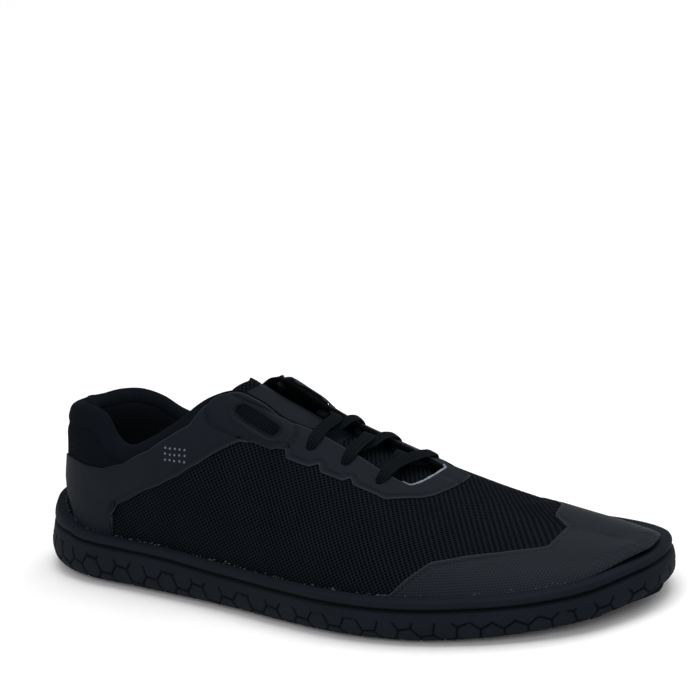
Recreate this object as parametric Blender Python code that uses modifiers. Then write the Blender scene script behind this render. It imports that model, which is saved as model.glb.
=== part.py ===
"""Low barefoot shoe for the right foot, empty, standing on its sole.

Metres, the toe along +X, the outer side along -Y, up +Z.
"""

import math

import bmesh
import bpy
from mathutils import Matrix, Vector

# Driving sizes
LENGTH = 0.285
BALL_WIDTH = 0.104
INSTEP_HEIGHT = 0.100
FIT_GAP = 0.0003

# Sole
RIM_HEIGHT = 0.020
FOOTBED = 0.007
SOLE_WALL = 0.0035
HEEL_INSET = 0.0085
HEEL_WAIST = 0.0045
HEEL_LEAN = 0.0030
TOE_LEAN = 0.0040
TOE_LEAN_START = 0.010
TOE_CLEAR = 0.0008
TOE_SPRING = 0.0050
HEEL_ROCKER = 0.0010
GROOVE_LIMIT = 0.0202
BEAD_HEIGHT = 0.0040
BEAD_BULGE = 0.0004
GROOVE_DEPTH = 0.0009
TREAD_FLOOR = 0.0024
TREAD_CURVE = 0.0010
GROOVE_SLOPE = 0.0012
GROOVE_LIP = 0.0010
RIM_EDGE = 0.0004
RIM_INSET = 0.0009
RIM_FALL = 0.0002
EDGE_INSET = 0.0085
CORE_INSET = 0.0024

# Hexagon cells of the sole
CELL_PITCH = 0.0147
CELL_GAP = 0.0012
CELL_COUNT_AROUND = 46
CELL_SHARES = 12
CELL_PEAK = 0.0115
CELL_PROUD = 0.0008
CELL_ROOT = 0.0015
CELL_TIP_INSET = 0.0006
LUG_EDGE = 0.0172
LUG_END = 0.0189
FINE_TURNS = 1200

# Outer face of a wall pad, then two points inside the sole: height over the walking line and inset
CELL_PROFILE = (
    (0.0080, -CELL_PROUD),
    (0.0042, 0.0004),
    (0.0020, 0.0026),
    (0.0010, 0.0062),
    (0.0060, 0.0024),
    (0.0030, 0.0050),
)
CELL_MIDDLE = (
    (CELL_PEAK, -CELL_PROUD),
    (0.0080, -CELL_PROUD),
    (CELL_PEAK, CELL_TIP_INSET),
)

# Upper and what is bonded to it
WALL = 0.0018
PAD = 0.0090
PAD_BULGE = 0.0012
PAD_START = 0.35
BULGE_START = 0.45
FILM_GAP = 0.0008
FILM = 0.0007
HEM = 0.006
CAP_LEAST = 0.004
EYELET_RADIUS = 0.0021
INSOLE_THICKNESS = 0.0030
INSOLE_CLEAR = 0.0012
TONGUE_THICKNESS = 0.0026
TONGUE_START = 0.362
TONGUE_CORNER = 0.034
TONGUE_FRONT = 0.675
LACE_WIDTH = 0.0050
LACE_THICKNESS = 0.0013
LACE_CLEAR = 0.0022
LACE_NEAR = 0.22
LACE_END_RISE = 0.935
LACE_END_DEPTH = -0.0006
LACE_OVER = 0.0016
LACE_UNDER = 0.0007
LACE_FLAT = 0.8
LACE_BEND = 0.12
LACE_STEP = 0.0005
PUNCH_DEPTH = 0.008

# Where the ridge of the form ends, as shares of LENGTH
RIDGE_BACK = 0.13
RIDGE_FRONT = 0.92
THROAT_END = 0.615
WAIST_LOW = 0.16
WAIST_HIGH = 0.42
FILM_TIP = 0.652

LATERAL = -1
MEDIAL = 1
STEP = 0.004

# Greatest outline of the sole: station along the length, half widths as shares of BALL_WIDTH
OUTLINE = (
    ("station", "lateral", "medial"),
    (0.00, 0.000, 0.000),
    (0.02, 0.170, 0.172),
    (0.05, 0.250, 0.252),
    (0.10, 0.312, 0.316),
    (0.20, 0.352, 0.345),
    (0.30, 0.392, 0.328),
    (0.40, 0.440, 0.315),
    (0.50, 0.498, 0.338),
    (0.60, 0.540, 0.398),
    (0.70, 0.532, 0.462),
    (0.80, 0.462, 0.495),
    (0.90, 0.320, 0.462),
    (0.95, 0.200, 0.395),
    (0.98, 0.060, 0.305),
    (1.00, -0.125, 0.125),
)

# Ridge of the last: station, height share, sideways share, fullness of the section on each side
RIDGE = (
    ("station", "height", "sideways", "lateral_fullness", "medial_fullness"),
    (0.13, 1.020, 0.000, 2.00, 2.00),
    (0.20, 1.040, 0.010, 2.30, 2.30),
    (0.30, 1.030, 0.020, 2.40, 2.40),
    (0.36, 0.970, 0.030, 2.30, 2.30),
    (0.42, 0.860, 0.030, 2.15, 2.15),
    (0.50, 0.715, 0.030, 2.10, 2.15),
    (0.58, 0.600, 0.035, 2.10, 2.20),
    (0.66, 0.490, 0.050, 2.15, 2.10),
    (0.76, 0.375, 0.080, 2.30, 2.05),
    (0.86, 0.297, 0.110, 2.70, 2.35),
    (0.92, 0.268, 0.130, 3.10, 3.10),
)

# Top edge of the opening, as rise up the section, and padding there as a share of PAD
OPENING = (
    ("turn", "lateral", "medial", "padding"),
    (0.000, 0.425, 0.425, 1.00),
    (0.100, 0.425, 0.390, 1.00),
    (0.160, 0.420, 0.375, 1.00),
    (0.200, 0.405, 0.355, 0.95),
    (0.230, 0.375, 0.325, 0.88),
    (0.260, 0.335, 0.280, 0.80),
    (0.280, 0.316, 0.265, 0.75),
    (0.300, 0.326, 0.280, 0.69),
    (0.320, 0.358, 0.312, 0.62),
    (0.340, 0.420, 0.370, 0.50),
    (0.360, 0.510, 0.440, 0.40),
    (0.380, 0.660, 0.525, 0.27),
    (0.395, 0.755, 0.640, 0.20),
    (0.420, 0.796, 0.780, 0.20),
    (0.450, 0.800, 0.800, 0.20),
    (0.480, 0.842, 0.835, 0.20),
    (0.520, 0.857, 0.850, 0.20),
    (0.580, 0.853, 0.850, 0.20),
    (0.596, 0.868, 0.865, 0.20),
    (0.605, 0.900, 0.895, 0.20),
    (0.612, 0.955, 0.950, 0.20),
    (0.615, 1.000, 1.000, 0.20),
    (1.000, 1.000, 1.000, 0.20),
)

# Saddle film: lower edge and upper edge as rise up the section
SADDLE = (
    ("turn", "low", "top"),
    (0.125, 0.000, 0.270),
    (0.180, 0.000, 0.272),
    (0.220, 0.000, 0.252),
    (0.262, 0.000, 0.251),
    (0.269, 0.115, 0.256),
    (0.280, 0.150, 0.265),
    (0.300, 0.176, 0.292),
    (0.340, 0.244, 0.384),
    (0.360, 0.290, 0.456),
    (0.380, 0.353, 1.000),
    (0.400, 0.443, 1.000),
    (0.420, 0.548, 1.000),
    (0.440, 0.598, 1.000),
    (0.480, 0.626, 1.000),
    (0.540, 0.645, 1.000),
    (0.580, 0.670, 1.000),
    (0.600, 0.748, 1.000),
    (0.620, 0.820, 1.000),
    (0.640, 0.920, 1.000),
    (0.652, 1.000, 1.000),
)

# Toe cap film: upper edge as rise up the section
TOE_CAP = (
    ("turn", "top"),
    (0.612, 0.175),
    (0.640, 0.287),
    (0.660, 0.380),
    (0.680, 0.441),
    (0.720, 0.521),
    (0.760, 0.626),
    (0.780, 0.719),
    (0.800, 0.888),
    (0.805, 1.000),
    (1.000, 1.000),
)

# Top of the sole's rim as a share of RIM_HEIGHT
RIM = (
    ("turn", "height"),
    (0.000, 1.50),
    (0.070, 1.48),
    (0.130, 1.38),
    (0.175, 1.26),
    (0.200, 1.17),
    (0.250, 1.12),
    (0.350, 1.09),
    (0.420, 1.01),
    (0.500, 0.98),
    (0.600, 0.96),
    (0.700, 0.95),
    (0.780, 0.90),
    (0.860, 0.89),
    (0.910, 0.95),
    (0.960, 0.98),
    (1.000, 0.98),
)

# How far the tongue lies under the ridge of the form, and its lower edge as rise up the section
TONGUE = (
    ("turn", "drop", "edge"),
    (0.345, 0.0150, 0.66),
    (0.380, 0.0135, 0.60),
    (0.440, 0.0110, 0.56),
    (0.500, 0.0085, 0.56),
    (0.560, 0.0068, 0.60),
    (0.620, 0.0060, 0.66),
    (0.680, 0.0056, 0.74),
)

# Eyelet rows from the top down: turn and rise on each side
EYELETS = (
    ("name", "lateral_turn", "lateral_rise", "medial_turn", "medial_rise"),
    ("top", 0.410, 0.700, 0.414, 0.700),
    ("fourth", 0.450, 0.710, 0.458, 0.710),
    ("third", 0.490, 0.735, 0.502, 0.750),
    ("second", 0.530, 0.765, 0.540, 0.755),
    ("front", 0.570, 0.770, 0.577, 0.730),
)

# Columns shared by every piece that follows the form
COLUMNS = (
    0.000, 0.035, 0.070, 0.105, 0.130, 0.155, 0.180, 0.205, 0.235, 0.262, 0.269, 0.290, 0.315, 0.340,
    0.360, 0.380, 0.395, 0.420, 0.450, 0.480, 0.510, 0.540, 0.570, 0.590, 0.602, 0.610, 0.615, 0.628,
    0.640, 0.652, 0.675, 0.700, 0.730, 0.760, 0.785, 0.805, 0.830, 0.860, 0.890, 0.920, 0.950, 0.975,
    1.000,
)

MATERIALS = (
    ("name", "colour", "roughness"),
    ("mesh_fabric", (0.0075, 0.0095, 0.0125), 0.85),
    ("bonded_film", (0.0135, 0.0160, 0.0205), 0.55),
    ("sole_rubber", (0.0085, 0.0102, 0.0137), 0.60),
    ("lining_foam", (0.0040, 0.0045, 0.0055), 0.90),
    ("flat_lace", (0.0075, 0.0090, 0.0120), 0.80),
)


def rows_of(table):
    """The rows under a table's heading."""
    return table[1:]


def column_of(table, name):
    """The place of a named column."""
    return table[0].index(name)


def weighted_slope(xs, ys, index):
    """Slope at one knot, weighted by the spans beside it."""
    if index == 0:
        return (ys[1] - ys[0]) / (xs[1] - xs[0])
    if index == len(xs) - 1:
        return (ys[-1] - ys[-2]) / (xs[-1] - xs[-2])
    before = xs[index] - xs[index - 1]
    after = xs[index + 1] - xs[index]
    falling = (ys[index] - ys[index - 1]) / before
    rising = (ys[index + 1] - ys[index]) / after
    return (falling * after + rising * before) / (before + after)


def smooth(xs, ys, x):
    """Cubic curve through the knots."""
    if x <= xs[0]:
        return ys[0]
    if x >= xs[-1]:
        return ys[-1]
    k = max(index for index in range(len(xs) - 1) if xs[index] <= x)
    span = xs[k + 1] - xs[k]
    t = (x - xs[k]) / span
    start = weighted_slope(xs, ys, k) * span
    end = weighted_slope(xs, ys, k + 1) * span
    return (
        (2 * t**3 - 3 * t**2 + 1) * ys[k]
        + (t**3 - 2 * t**2 + t) * start
        + (3 * t**2 - 2 * t**3) * ys[k + 1]
        + (t**3 - t**2) * end
    )


def straight(table, name, x):
    """Straight lines through a table's column."""
    place = column_of(table, name)
    rows = rows_of(table)
    if x <= rows[0][0]:
        return rows[0][place]
    for before, after in zip(rows, rows[1:]):
        if x <= after[0]:
            share = (x - before[0]) / (after[0] - before[0])
            return before[place] + share * (after[place] - before[place])
    return rows[-1][place]


def curved(table, name, x):
    """Cubic curve through a table's column."""
    place = column_of(table, name)
    return smooth([row[0] for row in rows_of(table)], [row[place] for row in rows_of(table)], x)


def station_at(turn):
    """Share of the length reached after a turn of 0 at the heel to 1 at the toe."""
    return (1 - math.cos(math.pi * turn)) / 2


OUTLINE_TURNS = [math.acos(1 - 2 * row[0]) / math.pi for row in rows_of(OUTLINE)]
OUTLINE_WIDTHS = {
    LATERAL: [-row[1] for row in rows_of(OUTLINE)],
    MEDIAL: [row[2] for row in rows_of(OUTLINE)],
}


def outline_point(side, turn):
    """Point of the sole's greatest outline."""
    turn = min(max(turn, 0.0), 1.0)
    width = smooth(OUTLINE_TURNS, OUTLINE_WIDTHS[side], turn)
    return Vector((LENGTH * station_at(turn), BALL_WIDTH * width, 0.0))


def outline_normal(side, turn):
    """Outward direction of the outline, straight back at the heel and straight ahead at the toe."""
    if turn < STEP:
        return Vector((-1.0, 0.0, 0.0))
    if turn > 1 - STEP:
        return Vector((1.0, 0.0, 0.0))
    along = outline_point(side, turn + STEP) - outline_point(side, turn - STEP)
    return Vector((-side * along.y, side * along.x, 0.0)).normalized()


def ground(x):
    """Height of the walking line over the floor: toe spring and a slight heel rocker."""
    toe = max(0.0, (x / LENGTH - 0.70) / 0.30)
    heel = max(0.0, (0.08 - x / LENGTH) / 0.08)
    return TOE_SPRING * toe**2 + HEEL_ROCKER * heel**2


def heel_share(turn):
    """1 at the back of the heel, fading out along the quarter."""
    return max(0.0, 1 - turn / 0.35) ** 2


def toe_share(turn):
    """1 at the tip of the toe, fading out behind it."""
    return max(0.0, (turn - 0.85) / 0.15) ** 2


def waist(turn, rise):
    """How far the back of the heel is drawn in between the sole's tab and the padded collar."""
    share = min(max((rise - WAIST_LOW) / (WAIST_HIGH - WAIST_LOW), 0.0), 1.0)
    return HEEL_WAIST * heel_share(turn) * math.sin(math.pi * share) ** 2


def ridge_point(station, drop=0.0):
    """Point of the ridge over the foot."""
    return Vector(
        (
            LENGTH * station,
            BALL_WIDTH * curved(RIDGE, "sideways", station),
            INSTEP_HEIGHT * curved(RIDGE, "height", station) - drop,
        )
    )


def section_ends(side, turn, drop):
    """Foot, ridge and fullness of one section of the form."""
    inset = SOLE_WALL + HEEL_INSET * heel_share(turn)
    foot = outline_point(side, turn) - outline_normal(side, turn) * inset
    foot.z = FOOTBED + ground(foot.x)
    reach = RIDGE_BACK + (RIDGE_FRONT - RIDGE_BACK) * station_at(turn)
    name = "lateral_fullness" if side == LATERAL else "medial_fullness"
    return foot, ridge_point(reach, drop), curved(RIDGE, name, reach)


def skin(side, turn, rise, drop=0.0):
    """Outer face of the upper: rise 0 at the sole and 1 on the ridge."""
    foot, top, fullness = section_ends(side, turn, drop)
    angle = min(max(rise, 0.0), 1.0) * math.pi / 2
    inward = 1 - max(math.cos(angle), 0.0) ** (2 / fullness)
    upward = max(math.sin(angle), 0.0) ** (2 / fullness)
    spot = Vector(
        (
            foot.x + (top.x - foot.x) * inward,
            foot.y + (top.y - foot.y) * inward,
            foot.z + (top.z - foot.z) * upward,
        )
    )
    return spot - outline_normal(side, turn) * waist(turn, rise)


def ridge_direction(turn, drop=0.0):
    """Direction of the ridge toward the toe, in the plane of length and height."""
    before = skin(LATERAL, max(turn - STEP, 0.0), 1.0, drop)
    after = skin(LATERAL, min(turn + STEP, 1.0), 1.0, drop)
    return Vector((after.x - before.x, 0.0, after.z - before.z)).normalized()


def normal(side, turn, rise, drop=0.0):
    """Outward direction of the form, the same from both sides where they meet."""
    if rise > 1 - STEP:
        along = ridge_direction(turn, drop)
        return Vector((-along.z, 0.0, along.x))
    if 0.0 < turn < 1.0:
        return side_normal(side, turn, rise, drop)
    return (side_normal(LATERAL, turn, rise, drop) + side_normal(MEDIAL, turn, rise, drop)).normalized()


def side_normal(side, turn, rise, drop):
    """Outward direction of the form by differences on one side."""
    after = min(turn + STEP, 1.0)
    before = max(turn - STEP, 0.0)
    along = skin(side, after, rise, drop) - skin(side, before, rise, drop)
    upward = skin(side, turn, rise + STEP, drop) - skin(side, turn, max(rise - STEP, 0.0), drop)
    return (along.cross(upward) * -side).normalized()


def off_skin(side, turn, rise, out, drop=0.0):
    """Point at a distance outside the form."""
    return skin(side, turn, rise, drop) + normal(side, turn, rise, drop) * out


def rise_at_height(side, turn, height):
    """Rise at which a section reaches a height over the floor."""
    foot, top, fullness = section_ends(side, turn, 0.0)
    share = min(max((height - foot.z) / (top.z - foot.z), 0.0), 1.0)
    return math.asin(share ** (fullness / 2)) * 2 / math.pi


def opening_rise(side, turn):
    """Rise of the opening's edge, 1 in front of the throat."""
    if turn >= THROAT_END:
        return 1.0
    return min(curved(OPENING, "lateral" if side == LATERAL else "medial", turn), 1.0)


def padding(turn, share):
    """Thickness of the upper's wall: share 0 at the sole and 1 at the opening."""
    edge = max(straight(OPENING, "padding", turn) * PAD, WALL)
    swell = max(0.0, (share - PAD_START) / (1 - PAD_START))
    return WALL + (edge - WALL) * swell * swell * (3 - 2 * swell)


def collar_bulge(turn, share):
    """How far the padding also pushes the outer face out."""
    amount = max(0.0, straight(OPENING, "padding", turn) - 0.2) / 0.8
    swell = min(max((share - BULGE_START) / (1 - BULGE_START), 0.0), 1.0)
    return PAD_BULGE * amount * max(0.0, math.sin(math.pi * swell))


def outer_point(side, turn, share):
    """Outer face of the upper, share 1 at the opening's edge."""
    rise = opening_rise(side, turn) * share
    return off_skin(side, turn, rise, collar_bulge(turn, share))


def inner_point(side, turn, share):
    """Inner face of the upper."""
    rise = opening_rise(side, turn) * share
    return off_skin(side, turn, rise, collar_bulge(turn, share) - padding(turn, share))


def edge_direction(side, turn):
    """In the surface, square to the opening's edge and into the opening."""
    if turn >= THROAT_END - STEP / 2:
        return -ridge_direction(THROAT_END)
    if turn > 0.0:
        return side_edge_direction(side, turn)
    return (side_edge_direction(LATERAL, turn) + side_edge_direction(MEDIAL, turn)).normalized()


def side_edge_direction(side, turn):
    """The same from the differences on one side."""
    after = min(turn + STEP / 2, THROAT_END)
    before = max(turn - STEP / 2, 0.0)
    start = skin(side, before, opening_rise(side, before))
    along = skin(side, after, opening_rise(side, after)) - start
    return (normal(side, turn, opening_rise(side, turn)).cross(along) * -side).normalized()


def roll_point(side, turn, angle):
    """Rounded top of the wall, from the outer edge over to the inner edge."""
    radius = padding(turn, 1.0) / 2
    start = off_skin(side, turn, opening_rise(side, turn), 0.0)
    inward = -normal(side, turn, opening_rise(side, turn))
    lift = edge_direction(side, turn) * math.sin(angle)
    return start + (lift + inward * (1 - math.cos(angle))) * radius


def clear_scene():
    """Removes what the startup scene holds."""
    for old in list(bpy.data.objects):
        bpy.data.objects.remove(old, do_unlink=True)


def make_materials():
    """One shader per kind of material."""
    made = {}
    for name, colour, roughness in rows_of(MATERIALS):
        material = bpy.data.materials.new(name)
        material.use_nodes = True
        shader = material.node_tree.nodes["Principled BSDF"]
        shader.inputs["Base Color"].default_value = (*colour, 1.0)
        shader.inputs["Roughness"].default_value = roughness
        made[name] = material
    return made


def add_object(name, shape, collection, material=None, rounded=True):
    """Turns a finished shape into a named object."""
    mesh = bpy.data.meshes.new(name)
    bmesh.ops.recalc_face_normals(shape, faces=shape.faces)
    shape.to_mesh(mesh)
    shape.free()
    for polygon in mesh.polygons:
        polygon.use_smooth = rounded
    made = bpy.data.objects.new(name, mesh)
    if material:
        mesh.materials.append(material)
    collection.objects.link(made)
    return made


def mapped_grid(across, along, place):
    """A grid whose points are put where place(i, j) says, i below across and j below along."""
    shape = bmesh.new()
    bmesh.ops.create_grid(shape, x_segments=across - 1, y_segments=along - 1, size=1.0)
    shape.verts.ensure_lookup_table()
    spots = {}
    for vertex in shape.verts:
        i = round((vertex.co.x + 1) / 2 * (across - 1))
        j = round((vertex.co.y + 1) / 2 * (along - 1))
        spots[vertex] = (i, j)
    for vertex, (i, j) in spots.items():
        vertex.co = place(i, j)
    return shape, spots


def weld(shape):
    """Joins points that coincide and drops what collapsed."""
    bmesh.ops.remove_doubles(shape, verts=shape.verts, dist=0.00002)
    bmesh.ops.dissolve_degenerate(shape, edges=shape.edges, dist=0.00001)


def around(columns):
    """(side, turn) of each column round the shoe, from the heel along the outer side and back."""
    out = [(LATERAL, turn) for turn in columns]
    back = [(MEDIAL, turn) for turn in reversed(columns)]
    return out + back[1:]


OUTER_SHARES = (0.0, 0.16, 0.32, 0.48, 0.64, 0.78, 0.90, 1.0)
INNER_SHARES = (1.0, 0.80, 0.55, 0.28, 0.12, 0.0)
ROLL_ANGLES = (math.radians(55), math.radians(125))


def upper_rows():
    """Rows of the upper's wall: outer face, rounded top, inner face, and back to the start."""
    rows = [("outer", share) for share in OUTER_SHARES]
    rows += [("roll", angle) for angle in ROLL_ANGLES]
    rows += [("inner", share) for share in INNER_SHARES]
    return rows + [rows[0]]


def upper_place(side, turn, kind, value):
    """Point of the upper's wall."""
    if kind == "outer":
        return outer_point(side, turn, value)
    if kind == "inner":
        return inner_point(side, turn, value)
    return roll_point(side, turn, value)


def build_upper(collection, materials):
    """The hollow upper: open at collar and throat and underneath."""
    columns = around(COLUMNS)
    rows = upper_rows()
    shape, spots = mapped_grid(len(columns), len(rows), lambda i, j: upper_place(*columns[i], *rows[j]))
    last_outer = len(OUTER_SHARES) - 1
    first_inner = last_outer + len(ROLL_ANGLES) + 1
    closed_part = []
    for face in shape.faces:
        places = [spots[vertex] for vertex in face.verts]
        over_top = all(last_outer <= j <= first_inner for _, j in places)
        if over_top and all(columns[i][1] >= THROAT_END for i, _ in places):
            closed_part.append(face)
    bmesh.ops.delete(shape, geom=closed_part, context="FACES")
    weld(shape)
    return add_object("upper", shape, collection, materials["mesh_fabric"])


def film_sheet(columns, rows, low, top):
    """A sheet just outside the upper between two rises.

    The toe's sheet runs round both sides in one, the saddle is one sheet a side, joined on the ridge.
    """
    if columns[-1] == 1.0:
        runs = [around(columns)]
    else:
        runs = [[(side, turn) for turn in columns] for side in (LATERAL, MEDIAL)]
    shape = bmesh.new()
    for run in runs:

        def place(i, j, run=run):
            least = low(*run[i])
            rise = least + (top(*run[i]) - least) * j / (rows - 1)
            bulge = collar_bulge(run[i][1], rise / opening_rise(*run[i]))
            return off_skin(*run[i], rise, FILM_GAP + bulge)

        part, _ = mapped_grid(len(run), rows, place)
        add_part(shape, part)
    weld(shape)
    return shape


def add_part(shape, part):
    """Adds a finished part to a shape and frees it."""
    bmesh.ops.recalc_face_normals(part, faces=part.faces)
    mesh = bpy.data.meshes.new("part")
    part.to_mesh(mesh)
    part.free()
    shape.from_mesh(mesh)
    bpy.data.meshes.remove(mesh)


def thicken(made, thickness, direction):
    """Gives a sheet its thickness, outward with direction 1 and inward with -1."""
    solid = made.modifiers.new("Thickness", "SOLIDIFY")
    solid.thickness = thickness
    solid.offset = direction
    solid.use_even_offset = True


def face_outward(made):
    """Turns a sheet's faces away from the inside of the shoe."""
    shape = bmesh.new()
    shape.from_mesh(made.data)
    heart = Vector((LENGTH / 2, 0.0, FOOTBED))
    inward = [f for f in shape.faces if f.normal.dot(f.calc_center_median() - heart) < 0]
    if len(inward) > len(shape.faces) / 2:
        bmesh.ops.reverse_faces(shape, faces=shape.faces)
    shape.to_mesh(made.data)
    shape.free()
    return made


def rim_height(side, turn):
    """Top of the sole's rim over the floor."""
    return RIM_HEIGHT * curved(RIM, "height", turn) + ground(outline_point(side, turn).x)


def rim_rise(side, turn):
    """Rise of the form just over the rim."""
    return rise_at_height(side, turn, rim_height(side, turn) + FIT_GAP * 2)


def saddle_low(side, turn):
    """Lower edge of the saddle film."""
    return max(straight(SADDLE, "low", turn), rim_rise(side, turn))


def saddle_top(side, turn):
    """Upper edge of the saddle film, a hem short of the opening."""
    if turn >= THROAT_END:
        return 1.0
    hem = HEM if turn < THROAT_END - STEP else 0.0
    return min(straight(SADDLE, "top", turn), opening_rise(side, turn) - hem)


def cap_top(side, turn):
    """Upper edge of the toe cap film."""
    return max(straight(TOE_CAP, "top", turn), min(rim_rise(side, turn) + CAP_LEAST, 1.0))


def build_films(collection, materials):
    """The saddle film and the toe cap film."""
    saddle_columns = [turn for turn in COLUMNS if 0.13 <= turn <= FILM_TIP]
    shape = film_sheet(saddle_columns, 5, saddle_low, saddle_top)
    saddle = face_outward(add_object("saddle_overlay", shape, collection, materials["bonded_film"]))
    thicken(saddle, FILM, 1.0)
    cap_columns = [turn for turn in COLUMNS if turn >= THROAT_END]
    shape = film_sheet(cap_columns, 7, rim_rise, cap_top)
    cap = face_outward(add_object("toe_cap", shape, collection, materials["bonded_film"]))
    thicken(cap, FILM, 1.0)
    return saddle


def sole_point(side, turn, height, inset):
    """Point of the sole's wall at a height over the walking line."""
    spot = outline_point(side, turn)
    lean = HEEL_LEAN * heel_share(turn) * (height / RIM_HEIGHT) ** 2
    lean += TOE_LEAN * toe_share(turn) * max(0.0, height / TOE_LEAN_START - 1) ** 2
    spot -= outline_normal(side, turn) * (inset + lean)
    spot.z = height + ground(outline_point(side, turn).x)
    return spot


def sole_section(side, turn):
    """Half section of the sole, from the middle of the tread over the rim to the middle of the footbed."""
    rim = RIM_HEIGHT * curved(RIM, "height", turn)
    groove = min(rim - BEAD_HEIGHT, GROOVE_LIMIT)
    edge = EDGE_INSET * min(1.0, 0.4 + 1.2 * math.sin(math.pi * turn))
    wall = [
        (TREAD_FLOOR, edge),
        (TREAD_FLOOR + TREAD_CURVE, CORE_INSET),
        (groove - GROOVE_SLOPE, 0.0),
        (groove, GROOVE_DEPTH),
        (groove + GROOVE_LIP, 0.0),
        (groove + (rim - groove) * 0.60, -BEAD_BULGE),
        (rim - RIM_EDGE, RIM_INSET),
    ]
    points = [sole_point(side, turn, height, inset) for height, inset in wall]
    lip = rise_at_height(side, turn, points[-1].z)
    clear = FIT_GAP + TOE_CLEAR * toe_share(turn)
    lining = ((1.0, clear), (0.5, clear), (0.0, FIT_GAP))
    inner = [off_skin(side, turn, lip * share, out) for share, out in lining]
    inner[0].z = points[-1].z + RIM_FALL
    inner[-1].z -= FIT_GAP
    return points + inner


def build_sole_body(collection, materials):
    """The cup: tread floor, edge, wall, groove, bead, rim and footbed."""
    loops = []
    for turn in COLUMNS:
        lateral = sole_section(LATERAL, turn)
        medial = sole_section(MEDIAL, turn)
        tread = lateral[0].lerp(medial[0], 0.5)
        bed = lateral[-1].lerp(medial[-1], 0.5)
        loops.append([tread, *lateral, bed, *reversed(medial), tread])
    shape, _ = mapped_grid(len(loops), len(loops[0]), lambda i, j: loops[i][j])
    weld(shape)
    return add_object("outsole", shape, collection, materials["sole_rubber"])


def prism(shape, x, y, radius, bottom, top):
    """A six-sided prism standing between two heights."""
    bmesh.ops.create_cone(
        shape, cap_ends=True, segments=6, radius1=radius, radius2=radius, depth=top - bottom,
        matrix=Matrix.Translation((x, y, (top + bottom) / 2)),
    )


def inside_tread(x, y):
    """Whether a lug's middle is far enough inside the outline."""
    station = x / LENGTH
    if not 0.0 < station < 1.0:
        return False
    turn = math.acos(1 - 2 * station) / math.pi
    low = outline_point(LATERAL, turn).y
    high = outline_point(MEDIAL, turn).y
    end = min(x, LENGTH - x)
    return low + LUG_EDGE < y < high - LUG_EDGE and end > LUG_END


def build_cells(cutters):
    """All lugs under the sole and all pads of its wall in one helper object."""
    shape = bmesh.new()
    radius = (CELL_PITCH - CELL_GAP) / math.sqrt(3)
    spacing = CELL_PITCH * math.sqrt(3) / 2
    half_rows = math.ceil(BALL_WIDTH / spacing)
    for row in range(-half_rows, half_rows + 1):
        y = row * spacing
        shift = CELL_PITCH / 2 if row % 2 else 0.0
        for place in range(math.ceil(LENGTH / CELL_PITCH) + 1):
            x = place * CELL_PITCH + shift
            if inside_tread(x, y):
                level = ground(x)
                prism(shape, x, y, radius, level, level + TREAD_FLOOR + CELL_ROOT)
    add_wall_cells(shape)
    return add_object("cells", shape, cutters, rounded=False)


def even_places(count):
    """(side, turn) evenly spaced round the sole's outline, by distance."""
    fine = around([k / FINE_TURNS for k in range(FINE_TURNS + 1)])
    spots = [outline_point(*place) for place in fine]
    runs = [0.0]
    for before, after in zip(spots, spots[1:]):
        runs.append(runs[-1] + (after - before).length)
    out = []
    k = 0
    for step in range(count):
        while runs[k + 1] < runs[-1] * step / count:
            k += 1
        out.append(fine[k])
    return out


def add_wall_cells(shape):
    """Pads with a pointed top round the lower wall, wrapping under its edge."""
    places = even_places(CELL_COUNT_AROUND * CELL_SHARES)
    for cell in range(CELL_COUNT_AROUND):
        first = cell * CELL_SHARES
        ends = (places[first], places[first + CELL_SHARES - 1])
        middle = places[first + CELL_SHARES // 2]
        points = [sole_point(*place, height, inset) for place in ends for height, inset in CELL_PROFILE]
        points += [sole_point(*middle, height, inset) for height, inset in CELL_MIDDLE]
        made = [shape.verts.new(point) for point in points]
        hull = bmesh.ops.convex_hull(shape, input=made)
        idle = set(hull["geom_interior"] + hull["geom_unused"])
        loose = [item for item in idle if isinstance(item, bmesh.types.BMVert)]
        bmesh.ops.delete(shape, geom=loose, context="VERTS")


def join_or_cut(made, other, operation, name):
    """One Boolean on a finished object."""
    boolean = made.modifiers.new(name, "BOOLEAN")
    boolean.object = other
    boolean.operation = operation
    boolean.solver = "EXACT"


def build_outsole(collection, cutters, materials):
    """The whole sole with its cells."""
    body = build_sole_body(collection, materials)
    join_or_cut(body, build_cells(cutters), "UNION", "Cells")
    tidy = body.modifiers.new("Tidy", "WELD")
    tidy.merge_threshold = 0.00003
    return body


def build_insole(collection, materials):
    """The loose insole on the footbed."""
    columns = [turn for turn in COLUMNS if 0.0 < turn < 1.0]
    loops = []
    for turn in columns:
        corners = []
        for side in (LATERAL, MEDIAL):
            low = off_skin(side, turn, 0.0, -WALL - INSOLE_CLEAR)
            low.z = FOOTBED + ground(low.x) + FIT_GAP / 2
            rise = rise_at_height(side, turn, low.z + INSOLE_THICKNESS + FIT_GAP)
            high = off_skin(side, turn, rise, -WALL - INSOLE_CLEAR)
            high.z = low.z + INSOLE_THICKNESS
            corners.append((low, high))
        (a, b), (c, d) = corners
        loops.append([a, b, b.lerp(d, 0.5), d, c, c.lerp(a, 0.5), a])
    shape, _ = mapped_grid(len(loops), len(loops[0]), lambda i, j: loops[i][j])
    weld(shape)
    bmesh.ops.holes_fill(shape, edges=[edge for edge in shape.edges if edge.is_boundary])
    return add_object("insole", shape, collection, materials["lining_foam"])


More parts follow.
